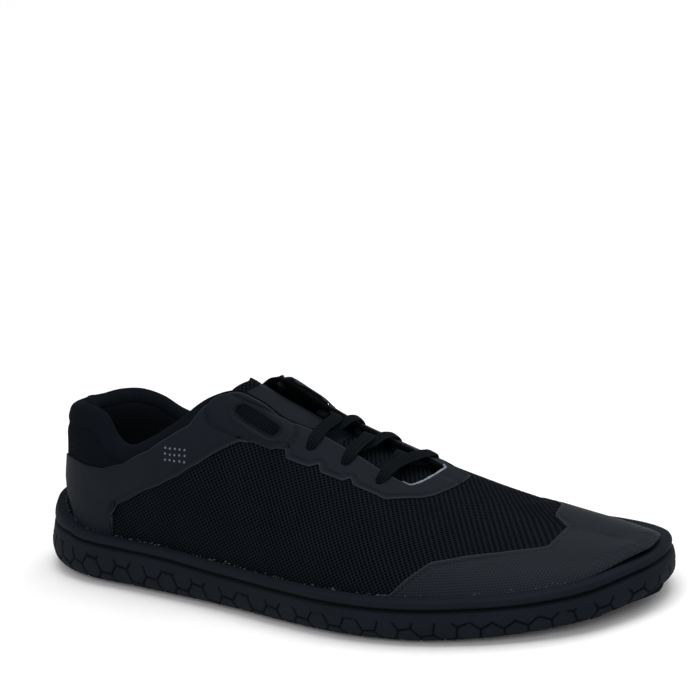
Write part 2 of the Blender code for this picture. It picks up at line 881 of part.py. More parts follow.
def build_tongue(collection, materials):
    """The tongue, a sheet under the throat with its thickness inward."""
    steps = 16
    shares = [0.0, 0.32, 0.60, 0.84, 1.0]
    sides = [(LATERAL, share) for share in shares] + [(MEDIAL, share) for share in reversed(shares[:-1])]

    def place(i, j):
        side, share = sides[j]
        start = TONGUE_START + TONGUE_CORNER * (1 - share) ** 2
        turn = start + (TONGUE_FRONT - start) * i / (steps - 1)
        low = straight(TONGUE, "edge", turn)
        rise = low + (1.0 - low) * share
        return skin(side, turn, rise, straight(TONGUE, "drop", turn))

    shape, _ = mapped_grid(steps, len(sides), place)
    weld(shape)
    tongue = face_outward(add_object("tongue", shape, collection, materials["mesh_fabric"]))
    thicken(tongue, TONGUE_THICKNESS, -1.0)


def strap(shape, stops, count):
    """A flat lace through (point, outward) stops, with rounded sides."""
    spots = [stop[0] for stop in stops]
    outs = [stop[1] for stop in stops]
    knots = [0.0]
    for before, after in zip(spots, spots[1:]):
        knots.append(knots[-1] + (after - before).length)

    def at(values, run):
        return Vector([smooth(knots, [value[axis] for value in values], run) for axis in range(3)])

    runs = [knots[-1] * k / (count - 1) for k in range(count)]
    half = LACE_WIDTH / 2
    flat = half * LACE_FLAT
    thick = LACE_THICKNESS / 2
    section = ((-half, 0.0), (-flat, thick), (flat, thick), (half, 0.0), (flat, -thick), (-flat, -thick))

    def place(i, j):
        run = runs[i]
        ahead = at(spots, min(run + LACE_STEP, knots[-1]))
        along = (ahead - at(spots, max(run - LACE_STEP, 0.0))).normalized()
        across = along.cross(at(outs, run)).normalized()
        up = across.cross(along).normalized()
        wide, high = section[j % len(section)]
        return at(spots, run) + across * wide + up * high

    part, _ = mapped_grid(count, len(section) + 1, place)
    weld(part)
    bmesh.ops.holes_fill(part, edges=[edge for edge in part.edges if edge.is_boundary])
    add_part(shape, part)


def lace_stop(side, turn, rise, out):
    """A stop of the lace over the form."""
    return off_skin(side, turn, rise, out), normal(side, turn, rise)


def eyelet(name, side):
    """Turn and rise of an eyelet."""
    row = next(row for row in rows_of(EYELETS) if row[0] == name)
    return (row[1], row[2]) if side == LATERAL else (row[3], row[4])


def crossing_stops(side, start, end, lift):
    """Stops of one strand, from its eyelet or the front bar over the throat and down at the far edge."""
    a_turn, a_rise = eyelet(start, side)
    b_turn, _ = eyelet(end, -side)
    low = FILM_GAP + FILM + LACE_CLEAR / 2
    near = (b_turn - a_turn) * LACE_NEAR
    if start == "front":
        stops = [lace_stop(side, a_turn + near, LACE_END_RISE, low - LACE_THICKNESS - FIT_GAP)]
    else:
        stops = [
            lace_stop(side, a_turn, a_rise, low),
            lace_stop(side, a_turn + near, a_rise + LACE_BEND, low),
        ]
    stops.append(lace_stop(side, (a_turn + b_turn) / 2, 1.0, lift))
    stops.append(lace_stop(-side, b_turn - near, LACE_END_RISE, LACE_END_DEPTH))
    return stops


def build_laces(collection, cutters, materials):
    """The front bar, three crossings and the two side lengths."""
    low = FILM_GAP + FILM + LACE_CLEAR / 2
    shape = bmesh.new()
    a_turn, a_rise = eyelet("front", LATERAL)
    b_turn, b_rise = eyelet("front", MEDIAL)
    stops = [
        lace_stop(LATERAL, a_turn, a_rise, low),
        lace_stop(LATERAL, a_turn, a_rise + LACE_BEND, low),
        lace_stop(LATERAL, (a_turn + b_turn) / 2, 1.0, low),
        lace_stop(MEDIAL, b_turn, b_rise + LACE_BEND, low),
        lace_stop(MEDIAL, b_turn, b_rise, low),
    ]
    strap(shape, stops, 9)
    add_object("lace_bar", shape, collection, materials["flat_lace"])
    pairs = (("front", "second"), ("second", "third"), ("third", "fourth"))
    for number, (start, end) in enumerate(pairs, 1):
        made = []
        for side, lift in ((LATERAL, LACE_OVER), (MEDIAL, LACE_UNDER)):
            shape = bmesh.new()
            strap(shape, crossing_stops(side, start, end, lift), 9)
            name = f"lace_crossing_{number}" if side == LATERAL else f"under_strand_{number}"
            home = collection if side == LATERAL else cutters
            made.append(add_object(name, shape, home, materials["flat_lace"]))
        join_or_cut(made[0], made[1], "UNION", "Under")
    for side, name in ((LATERAL, "lace_side_lateral"), (MEDIAL, "lace_side_medial")):
        shape = bmesh.new()
        a_turn, a_rise = eyelet("fourth", side)
        b_turn, b_rise = eyelet("top", side)
        stops = [
            lace_stop(side, a_turn + (b_turn - a_turn) * share, a_rise + (b_rise - a_rise) * share, low)
            for share in (0.0, 0.5, 1.0)
        ]
        strap(shape, stops, 6)
        add_object(name, shape, collection, materials["flat_lace"])


def cut_eyelets(targets, cutters):
    """Round holes through film and mesh."""
    shape = bmesh.new()
    for row in rows_of(EYELETS):
        for side in (LATERAL, MEDIAL):
            turn, rise = eyelet(row[0], side)
            outward = normal(side, turn, rise)
            turned = outward.to_track_quat("Z", "Y").to_matrix().to_4x4()
            frame = Matrix.Translation(skin(side, turn, rise)) @ turned
            bmesh.ops.create_cone(
                shape, cap_ends=True, segments=8, radius1=EYELET_RADIUS, radius2=EYELET_RADIUS,
                depth=PUNCH_DEPTH, matrix=frame,
            )
    punch = add_object("eyelet_punch", shape, cutters, rounded=False)
    for target in targets:
        join_or_cut(target, punch, "DIFFERENCE", "Eyelets")


def rest_on_origin(collection):
    """Moves every piece so that the shoe's bottom middle is the origin."""
    bpy.context.view_layer.update()
    graph = bpy.context.evaluated_depsgraph_get()
    corners = []
    for made in collection.objects:
        corners += [Vector(corner) for corner in made.evaluated_get(graph).bound_box]
    low = [min(corner[axis] for corner in corners) for axis in range(2)]
    high = [max(corner[axis] for corner in corners) for axis in range(2)]
    shift = Matrix.Translation((-(low[0] + high[0]) / 2, -(low[1] + high[1]) / 2, 0.0))
    for mesh in bpy.data.meshes:
        mesh.transform(shift)


def main():
    """Builds the shoe."""
    clear_scene()
    scene = bpy.context.scene
    scene.unit_settings.system = "METRIC"
    scene.unit_settings.scale_length = 1.0
    shoe = bpy.data.collections.new("barefoot_shoe_right")
    cutters = bpy.data.collections.new("cutters")
    scene.collection.children.link(shoe)
    scene.collection.children.link(cutters)
    materials = make_materials()
    upper = build_upper(shoe, materials)
    build_outsole(shoe, cutters, materials)
    build_insole(shoe, materials)
    build_tongue(shoe, materials)
    saddle = build_films(shoe, materials)
    build_laces(shoe, cutters, materials)
    cut_eyelets([upper, saddle], cutters)
    rest_on_origin(shoe)
    for helper in cutters.objects:
        helper.hide_render = True
        helper.display_type = "WIRE"


if __name__ == "__main__":
    main()
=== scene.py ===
"""Looks of the low barefoot shoe for the right foot, all black, empty, standing on a pale floor.

Metres, the toe along +X, the outer side along -Y, up +Z. The shoe's form is worked out on whole arrays
from the same driving sizes as the CAD part, and each piece is a finely divided sheet laid on that form.
"""

import logging
import math
from dataclasses import dataclass, field
from enum import Enum
from typing import Callable, Sequence

import bmesh
import bpy
import numpy as np
from mathutils import Matrix, Vector


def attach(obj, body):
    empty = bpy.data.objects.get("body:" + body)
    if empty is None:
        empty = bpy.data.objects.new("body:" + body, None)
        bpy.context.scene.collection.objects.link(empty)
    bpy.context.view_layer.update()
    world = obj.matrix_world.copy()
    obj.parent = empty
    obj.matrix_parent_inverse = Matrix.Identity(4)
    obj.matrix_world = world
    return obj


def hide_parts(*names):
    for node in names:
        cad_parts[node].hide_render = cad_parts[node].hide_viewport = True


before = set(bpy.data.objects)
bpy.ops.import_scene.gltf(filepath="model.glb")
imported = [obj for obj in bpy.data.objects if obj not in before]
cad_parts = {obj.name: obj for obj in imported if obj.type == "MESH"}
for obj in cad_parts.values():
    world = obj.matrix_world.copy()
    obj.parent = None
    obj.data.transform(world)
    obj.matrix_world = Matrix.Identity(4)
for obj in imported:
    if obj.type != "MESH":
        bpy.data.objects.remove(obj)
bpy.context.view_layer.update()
LOG = logging.getLogger("barefoot_shoe")

Points = np.ndarray
Shares = np.ndarray


class Side(Enum):
    """The two sides of the shoe."""

    LATERAL = -1
    MEDIAL = 1


# Greatest outline of the sole: station along the length, half widths as shares of the ball width
OUTLINE = (
    ("station", "lateral", "medial"),
    (0.00, 0.000, 0.000),
    (0.02, 0.170, 0.172),
    (0.05, 0.250, 0.252),
    (0.10, 0.312, 0.316),
    (0.20, 0.352, 0.345),
    (0.30, 0.392, 0.328),
    (0.40, 0.440, 0.315),
    (0.50, 0.498, 0.338),
    (0.60, 0.540, 0.398),
    (0.70, 0.532, 0.462),
    (0.80, 0.462, 0.495),
    (0.90, 0.320, 0.462),
    (0.95, 0.200, 0.395),
    (0.98, 0.060, 0.305),
    (1.00, -0.125, 0.125),
)

# Ridge of the last: station, height share, sideways share, fullness of the section on each side
RIDGE = (
    ("station", "height", "sideways", "lateral_fullness", "medial_fullness"),
    (0.13, 1.020, 0.000, 2.00, 2.00),
    (0.20, 1.040, 0.010, 2.30, 2.30),
    (0.30, 1.030, 0.020, 2.40, 2.40),
    (0.36, 0.970, 0.030, 2.30, 2.30),
    (0.42, 0.860, 0.030, 2.15, 2.15),
    (0.50, 0.715, 0.030, 2.10, 2.15),
    (0.58, 0.600, 0.035, 2.10, 2.20),
    (0.66, 0.490, 0.050, 2.15, 2.10),
    (0.76, 0.375, 0.080, 2.30, 2.05),
    (0.86, 0.297, 0.110, 2.70, 2.35),
    (0.92, 0.268, 0.130, 3.10, 3.10),
)

# Top edge of the opening, as rise up the section, and padding there as a share of the full pad
OPENING = (
    ("turn", "lateral", "medial", "padding"),
    (0.000, 0.425, 0.425, 1.00),
    (0.100, 0.425, 0.390, 1.00),
    (0.160, 0.420, 0.375, 1.00),
    (0.200, 0.415, 0.355, 0.95),
    (0.230, 0.400, 0.325, 0.88),
    (0.260, 0.332, 0.280, 0.80),
    (0.280, 0.310, 0.265, 0.75),
    (0.300, 0.318, 0.280, 0.69),
    (0.320, 0.358, 0.312, 0.62),
    (0.340, 0.420, 0.370, 0.50),
    (0.360, 0.510, 0.440, 0.40),
    (0.380, 0.660, 0.525, 0.27),
    (0.395, 0.755, 0.640, 0.20),
    (0.420, 0.796, 0.780, 0.20),
    (0.450, 0.800, 0.800, 0.20),
    (0.480, 0.842, 0.835, 0.20),
    (0.520, 0.857, 0.850, 0.20),
    (0.575, 0.850, 0.830, 0.20),
    (0.590, 0.852, 0.845, 0.20),
    (0.602, 0.882, 0.868, 0.20),
    (0.606, 0.935, 0.900, 0.20),
    (0.6085, 1.000, 1.000, 0.20),
    (1.000, 1.000, 1.000, 0.20),
)

# Lobed lower edge of the saddle film, stepped under each eyelet
SADDLE_LOW = (
    ("turn", "rise"),
    (0.120, 0.000),
    (0.267, 0.000),
    (0.269, 0.112),
    (0.272, 0.132),
    (0.277, 0.146),
    (0.286, 0.161),
    (0.299, 0.176),
    (0.343, 0.251),
    (0.366, 0.310),
    (0.389, 0.397),
    (0.405, 0.478),
    (0.416, 0.533),
    (0.424, 0.571),
    (0.436, 0.601),
    (0.456, 0.623),
    (0.469, 0.669),
    (0.474, 0.630),
    (0.499, 0.655),
    (0.507, 0.698),
    (0.512, 0.661),
    (0.537, 0.681),
    (0.543, 0.717),
    (0.549, 0.690),
    (0.575, 0.703),
    (0.586, 0.704),
    (0.606, 0.775),
    (0.618, 0.815),
    (0.627, 0.867),
    (0.634, 0.950),
    (0.637, 1.000),
)

# Upper edge of the saddle film under the knit collar
SADDLE_TOP = (
    ("turn", "rise"),
    (0.120, 0.276),
    (0.180, 0.270),
    (0.227, 0.252),
    (0.258, 0.252),
    (0.291, 0.280),
    (0.326, 0.351),
    (0.350, 0.430),
    (0.369, 0.507),
    (0.376, 0.600),
    (0.385, 0.690),
    (0.392, 1.000),
)

# Upper edge of the toe cap film round the toe, outer side first: turn counts on past 1 along the inner side
CAP_TOP = (
    ("around", "rise"),
    (0.612, 0.115),
    (0.622, 0.169),
    (0.639, 0.293),
    (0.661, 0.434),
    (0.694, 0.524),
    (0.734, 0.613),
    (0.748, 0.646),
    (0.780, 0.715),
    (0.794, 0.752),
    (0.801, 0.850),
    (0.811, 0.980),
    (0.814, 1.000),
    (1.186, 1.000),
    (1.200, 0.982),
    (1.232, 0.918),
    (1.240, 0.880),
    (1.270, 0.674),
    (1.300, 0.560),
    (1.325, 0.470),
    (1.345, 0.370),
    (1.365, 0.270),
    (1.388, 0.115),
)

# Top of the sole's rim as a share of the plain rim height
RIM = (
    ("turn", "height"),
    (0.000, 1.50),
    (0.070, 1.48),
    (0.130, 1.38),
    (0.175, 1.26),
    (0.200, 1.17),
    (0.250, 1.12),
    (0.350, 1.09),
    (0.420, 1.01),
    (0.500, 0.98),
    (0.600, 0.96),
    (0.700, 0.95),
    (0.780, 0.90),
    (0.860, 0.89),
    (0.910, 0.92),
    (0.960, 0.92),
    (1.000, 0.91),
)

# Sideways bend of the rows of cells along the sole, over the form's unmoved length
CELL_BEND = (
    ("length", "sideways"),
    (0.060, 0.0000),
    (0.095, -0.0008),
    (0.112, -0.0011),
    (0.137, -0.0027),
    (0.154, -0.0043),
    (0.171, -0.0057),
    (0.204, -0.0057),
    (0.230, -0.0052),
    (0.263, -0.0052),
)

# How far the tongue lies under the ridge of the form, and its lower edge as rise up the section
TONGUE = (
    ("turn", "drop", "edge"),
    (0.345, 0.0150, 0.66),
    (0.380, 0.0132, 0.60),
    (0.440, 0.0092, 0.56),
    (0.500, 0.0064, 0.56),
    (0.560, 0.0053, 0.60),
    (0.620, 0.0048, 0.66),
    (0.680, 0.0048, 0.74),
)

# Eyelet rows from the top down: turn and rise on each side
EYELETS = (
    ("name", "lateral_turn", "lateral_rise", "medial_turn", "medial_rise"),
    ("top", 0.410, 0.700, 0.414, 0.700),
    ("fourth", 0.450, 0.710, 0.458, 0.710),
    ("third", 0.490, 0.743, 0.502, 0.790),
    ("second", 0.529, 0.772, 0.540, 0.755),
    ("front", 0.570, 0.775, 0.577, 0.710),
)

# Tips of the raised oval and of the slot inside it: turn and rise of the rear one and the front one
OVALS = (
    ("name", "rear_turn", "rear_rise", "front_turn", "front_rise"),
    ("ring", 0.381, 0.624, 0.470, 0.728),
    ("slot", 0.407, 0.691, 0.457, 0.704),
)

# Soft creases pressed in, given one by one: place, how it runs in degrees, length, width, depth (a ridge if
# below 0)
CREASES = (
    ("around", "rise", "angle", "length", "width", "depth"),
    (0.680, 0.62, 62.0, 0.030, 0.0050, 0.00050),
    (0.716, 0.76, 70.0, 0.028, 0.0045, 0.00050),
    (0.655, 0.50, 50.0, 0.024, 0.0050, 0.00035),
    (1.300, 0.70, 115.0, 0.028, 0.0050, 0.00050),
    (0.420, 0.30, 20.0, 0.034, 0.0060, 0.00045),
    (0.520, 0.40, -12.0, 0.040, 0.0070, 0.00040),
    (1.560, 0.35, 10.0, 0.040, 0.0070, 0.00045),
    (0.340, 0.285, 35.0, 0.016, 0.0028, 0.00060),
    (1.655, 0.270, -35.0, 0.016, 0.0028, 0.00060),
)


@dataclass(frozen=True)
class LastSizes:
    """Driving sizes of the form, as in the CAD part."""

    length: float = 0.285
    ball_width: float = 0.104
    instep_height: float = 0.100
    fit_gap: float = 0.0003
    footbed: float = 0.007
    sole_wall: float = 0.0035
    heel_inset: float = 0.0085
    heel_waist: float = 0.0045
    waist_low: float = 0.16
    waist_high: float = 0.42
    toe_spring: float = 0.0050
    heel_rocker: float = 0.0010
    ridge_back: float = 0.13
    ridge_front: float = 0.92
    throat_end: float = 0.6085
    wall: float = 0.0018
    pad: float = 0.0090
    pad_bulge: float = 0.0012
    pad_start: float = 0.35
    bulge_start: float = 0.45
    origin_x: float = 0.14272773
    origin_y: float = -0.00249201


def column(table: Sequence[tuple], name: str) -> list[float]:
    """Values of a named column."""
    place = table[0].index(name)
    return [row[place] for row in table[1:]]


def straight(table: Sequence[tuple], name: str, x: Shares) -> Shares:
    """Straight lines through a table's column."""
    return np.interp(x, column(table, table[0][0]), column(table, name))


class Curve:
    """Cubic curve through knots, with slopes weighted by the spans beside each knot."""

    def __init__(self, xs: Sequence[float], ys: Sequence[float]) -> None:
        """Works out the slope at each knot."""
        self.xs = np.array(xs, float)
        self.ys = np.array(ys, float)
        spans = np.diff(self.xs)
        rises = np.diff(self.ys) / spans
        self.slopes = np.empty(len(self.xs))
        self.slopes[0] = rises[0]
        self.slopes[-1] = rises[-1]
        self.slopes[1:-1] = (rises[:-1] * spans[1:] + rises[1:] * spans[:-1]) / (spans[:-1] + spans[1:])

    def __call__(self, x: Shares) -> Shares:
        """Values at x, held at the ends."""
        x = np.clip(x, self.xs[0], self.xs[-1])
        k = np.clip(np.searchsorted(self.xs, x, side="right") - 1, 0, len(self.xs) - 2)
        span = self.xs[k + 1] - self.xs[k]
        t = (x - self.xs[k]) / span
        return (
            (2 * t**3 - 3 * t**2 + 1) * self.ys[k]
            + (t**3 - 2 * t**2 + t) * span * self.slopes[k]
            + (3 * t**2 - 2 * t**3) * self.ys[k + 1]
            + (t**3 - t**2) * span * self.slopes[k + 1]
        )


def table_curve(table: Sequence[tuple], name: str) -> Curve:
    """Cubic curve through a table's column."""
    return Curve(column(table, table[0][0]), column(table, name))


def unit(vectors: Points) -> Points:
    """Vectors brought to length one."""
    return vectors / np.maximum(np.linalg.norm(vectors, axis=-1, keepdims=True), 1e-12)


def ease(x: Shares) -> Shares:
    """Smooth step from 0 to 1."""
    x = np.clip(x, 0.0, 1.0)
    return x * x * (3 - 2 * x)


class Last:
    """The form of the shoe. around counts 0 heel to 1 toe on the outer side and on to 2 at the heel."""

    STEP = 0.004

    def __init__(self, sizes: LastSizes) -> None:
        """Keeps the sizes and the curves through the tables."""
        self.sizes = sizes
        turns = [math.acos(1 - 2 * station) / math.pi for station in column(OUTLINE, "station")]
        self.lateral = Curve(turns, [-width for width in column(OUTLINE, "lateral")])
        self.medial = Curve(turns, column(OUTLINE, "medial"))
        self.height = table_curve(RIDGE, "height")
        self.sideways = table_curve(RIDGE, "sideways")
        self.lateral_fullness = table_curve(RIDGE, "lateral_fullness")
        self.medial_fullness = table_curve(RIDGE, "medial_fullness")
        self.opening_lateral = table_curve(OPENING, "lateral")
        self.opening_medial = table_curve(OPENING, "medial")
        self.rim = table_curve(RIM, "height")

    @staticmethod
    def split(around: Shares) -> tuple[Shares, Shares]:
        """Whether a place is on the outer side, and its turn."""
        around = np.mod(around, 2.0)
        outer = around <= 1.0
        return outer, np.where(outer, around, 2.0 - around)

    def outline(self, around: Shares) -> Points:
        """Greatest outline of the sole."""
        outer, turn = self.split(around)
        sizes = self.sizes
        x = sizes.length * (1 - np.cos(np.pi * turn)) / 2 - sizes.origin_x
        y = sizes.ball_width * np.where(outer, self.lateral(turn), self.medial(turn)) - sizes.origin_y
        return np.stack([x, y, np.zeros_like(x)], -1)

    def outline_normal(self, around: Shares) -> Points:
        """Outward direction of the outline."""
        along = self.outline(around + self.STEP) - self.outline(around - self.STEP)
        return unit(np.stack([along[..., 1], -along[..., 0], np.zeros_like(along[..., 0])], -1))

    def ground(self, x: Shares) -> Shares:
        """Height of the walking line over the floor."""
        share = (x + self.sizes.origin_x) / self.sizes.length
        toe = np.maximum(0.0, (share - 0.70) / 0.30)
        heel = np.maximum(0.0, (0.08 - share) / 0.08)
        return self.sizes.toe_spring * toe**2 + self.sizes.heel_rocker * heel**2

    def heel_share(self, around: Shares) -> Shares:
        """1 at the back of the heel, fading out along the quarter."""
        return np.maximum(0.0, 1 - self.split(around)[1] / 0.35) ** 2

    def toe_share(self, around: Shares) -> Shares:
        """1 at the tip of the toe, fading out behind it."""
        return np.maximum(0.0, (self.split(around)[1] - 0.85) / 0.15) ** 2

    def ends(self, around: Shares, drop: Shares) -> tuple[Points, Points, Shares]:
        """Foot, ridge and fullness of each section."""
        sizes = self.sizes
        outer, turn = self.split(around)
        inset = sizes.sole_wall + sizes.heel_inset * self.heel_share(around)
        foot = self.outline(around) - self.outline_normal(around) * inset[..., None]
        foot[..., 2] = sizes.footbed + self.ground(foot[..., 0])
        reach = sizes.ridge_back + (sizes.ridge_front - sizes.ridge_back) * (1 - np.cos(np.pi * turn)) / 2
        top = np.stack(
            [
                sizes.length * reach - sizes.origin_x,
                sizes.ball_width * self.sideways(reach) - sizes.origin_y,
                sizes.instep_height * self.height(reach) - drop,
            ],
            -1,
        )
        fullness = np.where(outer, self.lateral_fullness(reach), self.medial_fullness(reach))
        return foot, top, fullness

    def skin(self, around: Shares, rise: Shares, drop: Shares = 0.0) -> Points:
        """Outer face of the upper: rise 0 at the sole and 1 on the ridge.

        Args:
            around: place round the shoe.
            rise: share of the way up the section.
            drop: how far the ridge is let down, for what lies under the throat.

        Returns:
            One point for each place.
        """
        sizes = self.sizes
        around, rise, drop = np.broadcast_arrays(*(np.asarray(v, float) for v in (around, rise, drop)))
        foot, top, fullness = self.ends(around, drop)
        angle = np.clip(rise, 0.0, 1.0) * np.pi / 2
        inward = 1 - np.maximum(np.cos(angle), 0.0) ** (2 / fullness)
        upward = np.maximum(np.sin(angle), 0.0) ** (2 / fullness)
        share = np.stack([inward, inward, upward], -1)
        band = np.clip((rise - sizes.waist_low) / (sizes.waist_high - sizes.waist_low), 0.0, 1.0)
        waist = sizes.heel_waist * self.heel_share(around) * np.sin(np.pi * band) ** 2
        return foot + (top - foot) * share - self.outline_normal(around) * waist[..., None]

    def ridge_direction(self, around: Shares, drop: Shares = 0.0) -> Points:
        """Direction of the ridge toward the toe, in the plane of length and height."""
        turn = self.split(around)[1]
        before = self.skin(np.maximum(turn - self.STEP, 0.0), 1.0, drop)
        along = self.skin(np.minimum(turn + self.STEP, 1.0), 1.0, drop) - before
        along[..., 1] = 0.0
        return unit(along)

    def normal(self, around: Shares, rise: Shares, drop: Shares = 0.0) -> Points:
        """Outward direction of the form, the same from both sides where they meet."""
        around, rise, drop = np.broadcast_arrays(*(np.asarray(v, float) for v in (around, rise, drop)))
        step = self.STEP
        along = self.skin(around + step, rise, drop) - self.skin(around - step, rise, drop)
        low = np.clip(rise - step, 0.0, 1.0 - 2 * step)
        upward = self.skin(around, low + 2 * step, drop) - self.skin(around, low, drop)
        ridge = self.ridge_direction(around, drop)
        over = np.stack([-ridge[..., 2], np.zeros_like(rise), ridge[..., 0]], -1)
        return np.where((rise > 1 - step)[..., None], over, unit(np.cross(along, upward)))

    def off(self, around: Shares, rise: Shares, out: Shares, drop: Shares = 0.0) -> Points:
        """Points at a distance outside the form."""
        around, rise, out = np.broadcast_arrays(*(np.asarray(v, float) for v in (around, rise, out)))
        return self.skin(around, rise, drop) + self.normal(around, rise, drop) * out[..., None]

    def rise_at_height(self, around: Shares, height: Shares) -> Shares:
        """Rise at which a section reaches a height over the floor."""
        foot, top, fullness = self.ends(around, np.zeros_like(around))
        share = np.clip((height - foot[..., 2]) / (top[..., 2] - foot[..., 2]), 0.0, 1.0)
        return np.arcsin(share ** (fullness / 2)) * 2 / np.pi

    def opening(self, around: Shares) -> Shares:
        """Rise of the opening's edge, 1 in front of the throat."""
        outer, turn = self.split(around)
        rise = np.minimum(np.where(outer, self.opening_lateral(turn), self.opening_medial(turn)), 1.0)
        return np.where(turn >= self.sizes.throat_end, 1.0, rise)

    def padding(self, around: Shares, share: Shares) -> Shares:
        """Thickness of the upper's wall: share 0 at the sole and 1 at the opening."""
        sizes = self.sizes
        edge = np.maximum(straight(OPENING, "padding", self.split(around)[1]) * sizes.pad, sizes.wall)
        return sizes.wall + (edge - sizes.wall) * ease((share - sizes.pad_start) / (1 - sizes.pad_start))

    def bulge(self, around: Shares, share: Shares) -> Shares:
        """How far the padding also pushes the outer face out."""
        sizes = self.sizes
        amount = np.maximum(0.0, straight(OPENING, "padding", self.split(around)[1]) - 0.2) / 0.8
        swell = np.clip((share - sizes.bulge_start) / (1 - sizes.bulge_start), 0.0, 1.0)
        return sizes.pad_bulge * amount * np.maximum(0.0, np.sin(np.pi * swell))

    def edge_direction(self, around: Shares) -> Points:
        """In the surface, square to the opening's edge and into the opening."""
        step = self.STEP / 2
        along = self.skin(around + step, self.opening(around + step))
        along -= self.skin(around - step, self.opening(around - step))
        side = unit(np.cross(self.normal(around, self.opening(around)), along))
        front = -self.ridge_direction(np.full_like(around, self.sizes.throat_end))
        closed = self.split(around)[1] >= self.sizes.throat_end - step
        return np.where(closed[..., None], front, side)

    def roll(self, around: Shares, angle: Shares) -> Points:
        """Rounded top of the wall, from the outer edge over to the inner edge."""
        rise = self.opening(around)
        radius = self.padding(around, 1.0) / 2
        lift = self.edge_direction(around) * np.sin(angle)[..., None]
        over = -self.normal(around, rise) * (1 - np.cos(angle))[..., None]
        return self.skin(around, rise) + (lift + over) * radius[..., None]

    def rim_height(self, around: Shares) -> Shares:
        """Top of the sole's rim over the walking line."""
        return Sole.RIM_HEIGHT * self.rim(self.split(around)[1])

    def rim_rise(self, around: Shares) -> Shares:
        """Rise of the form just over the rim."""
        floor = self.ground(self.outline(around)[..., 0])
        return self.rise_at_height(around, self.rim_height(around) + floor)

    def eyelet(self, name: str, side: Side) -> tuple[float, float]:
        """Place round the shoe and rise of an eyelet."""
        row = next(row for row in EYELETS[1:] if row[0] == name)
        return (row[1], row[2]) if side is Side.LATERAL else (2.0 - row[3], row[4])


@dataclass
class Sheet:
    """A grid of points with the values and flat coordinates that its material reads."""

    points: Points
    values: dict[str, Shares] = field(default_factory=dict)
    flats: dict[str, Shares] = field(default_factory=dict)
    slots: Shares | None = None

    def shape(self, drop_faces: Callable[[int, int], bool] | None = None) -> bmesh.types.BMesh:
        """Builds the grid and moves it onto the points.

        Args:
            drop_faces: tells which cells, by their first column and row, are left out.

        Returns:
            The shape, joined where its points coincide.
        """
        columns, rows = self.points.shape[:2]
        shape = bmesh.new()
        bmesh.ops.create_grid(shape, x_segments=columns - 1, y_segments=rows - 1, size=1.0)
        layers = {name: shape.verts.layers.float.new(name) for name in self.values}
        flats = {name: shape.loops.layers.uv.new(name) for name in self.flats}
        shape.verts.index_update()
        places = []
        for vertex in shape.verts:
            i = round((vertex.co.x + 1) / 2 * (columns - 1))
            j = round((vertex.co.y + 1) / 2 * (rows - 1))
            places.append((i, j))
            vertex.co = self.points[i, j]
            for name, layer in layers.items():
                vertex[layer] = self.values[name][i, j]
        dropped = []
        for face in shape.faces:
            corners = [places[loop.vert.index] for loop in face.loops]
            first = (min(i for i, _ in corners), min(j for _, j in corners))
            for name, layer in flats.items():
                for loop, (i, j) in zip(face.loops, corners):
                    loop[layer].uv = self.flats[name][i, j]
            if self.slots is not None:
                face.material_index = int(self.slots[first])
            if drop_faces is not None and drop_faces(*first):
                dropped.append(face)
        if dropped:
            bmesh.ops.delete(shape, geom=dropped, context="FACES")
        bmesh.ops.remove_doubles(shape, verts=shape.verts, dist=0.000008)
        bmesh.ops.dissolve_degenerate(shape, edges=shape.edges, dist=0.000004)
        return shape


def merge(shape: bmesh.types.BMesh, part: bmesh.types.BMesh) -> None:
    """Adds a finished part to a shape and frees it."""
    bmesh.ops.recalc_face_normals(part, faces=part.faces)
    mesh = bpy.data.meshes.new("part")
    part.to_mesh(mesh)
    part.free()
    shape.from_mesh(mesh)
    bpy.data.meshes.remove(mesh)


def face_away(shape: bmesh.types.BMesh, heart: Vector) -> None:
    """Turns an open sheet's faces away from a point."""
    inward = sum(1 for face in shape.faces if face.normal.dot(face.calc_center_median() - heart) < 0)
    if inward > len(shape.faces) / 2:
        bmesh.ops.reverse_faces(shape, faces=shape.faces)


def close_ends(shape: bmesh.types.BMesh) -> None:
    """Caps what is still open."""
    bmesh.ops.holes_fill(shape, edges=[edge for edge in shape.edges if edge.is_boundary])


class Graph:
    """Short hand for wiring shader nodes."""

    def __init__(self, tree: bpy.types.NodeTree) -> None:
        """Keeps the tree."""
        self.tree = tree

    def add(self, kind: str, **inputs: object) -> bpy.types.Node:
        """Adds a node; settings and inputs are given by name, a socket as input is linked.

        Args:
            kind: the node's type.
            inputs: settings such as operation, or inputs with spaces written as underscores or by number.

        Returns:
            The node.
        """
        node = self.tree.nodes.new(kind)
        for name, value in inputs.items():
            if hasattr(node, name):
                setattr(node, name, value)
                continue
            label = name[2:] if name.startswith("in") and name[2:].isdigit() else name.replace("_", " ")
            socket = node.inputs[int(label) if label.isdigit() else label]
            if isinstance(value, bpy.types.NodeSocket):
                self.tree.links.new(value, socket)
            else:
                socket.default_value = value
        return node

    def math(self, operation: str, *values: object) -> bpy.types.NodeSocket:
        """A math node's result."""
        inputs = {f"in{place}": value for place, value in enumerate(values)}
        return self.add("ShaderNodeMath", operation=operation, **inputs).outputs[0]

    def blend(self, share: object, start: object, end: object) -> bpy.types.NodeSocket:
        """A colour between two colours."""
        node = self.add("ShaderNodeMix", data_type="RGBA")
        for socket, value in ((node.inputs[0], share), (node.inputs[6], start), (node.inputs[7], end)):
            if isinstance(value, bpy.types.NodeSocket):
                self.tree.links.new(value, socket)
            else:
                socket.default_value = value
        return node.outputs[2]


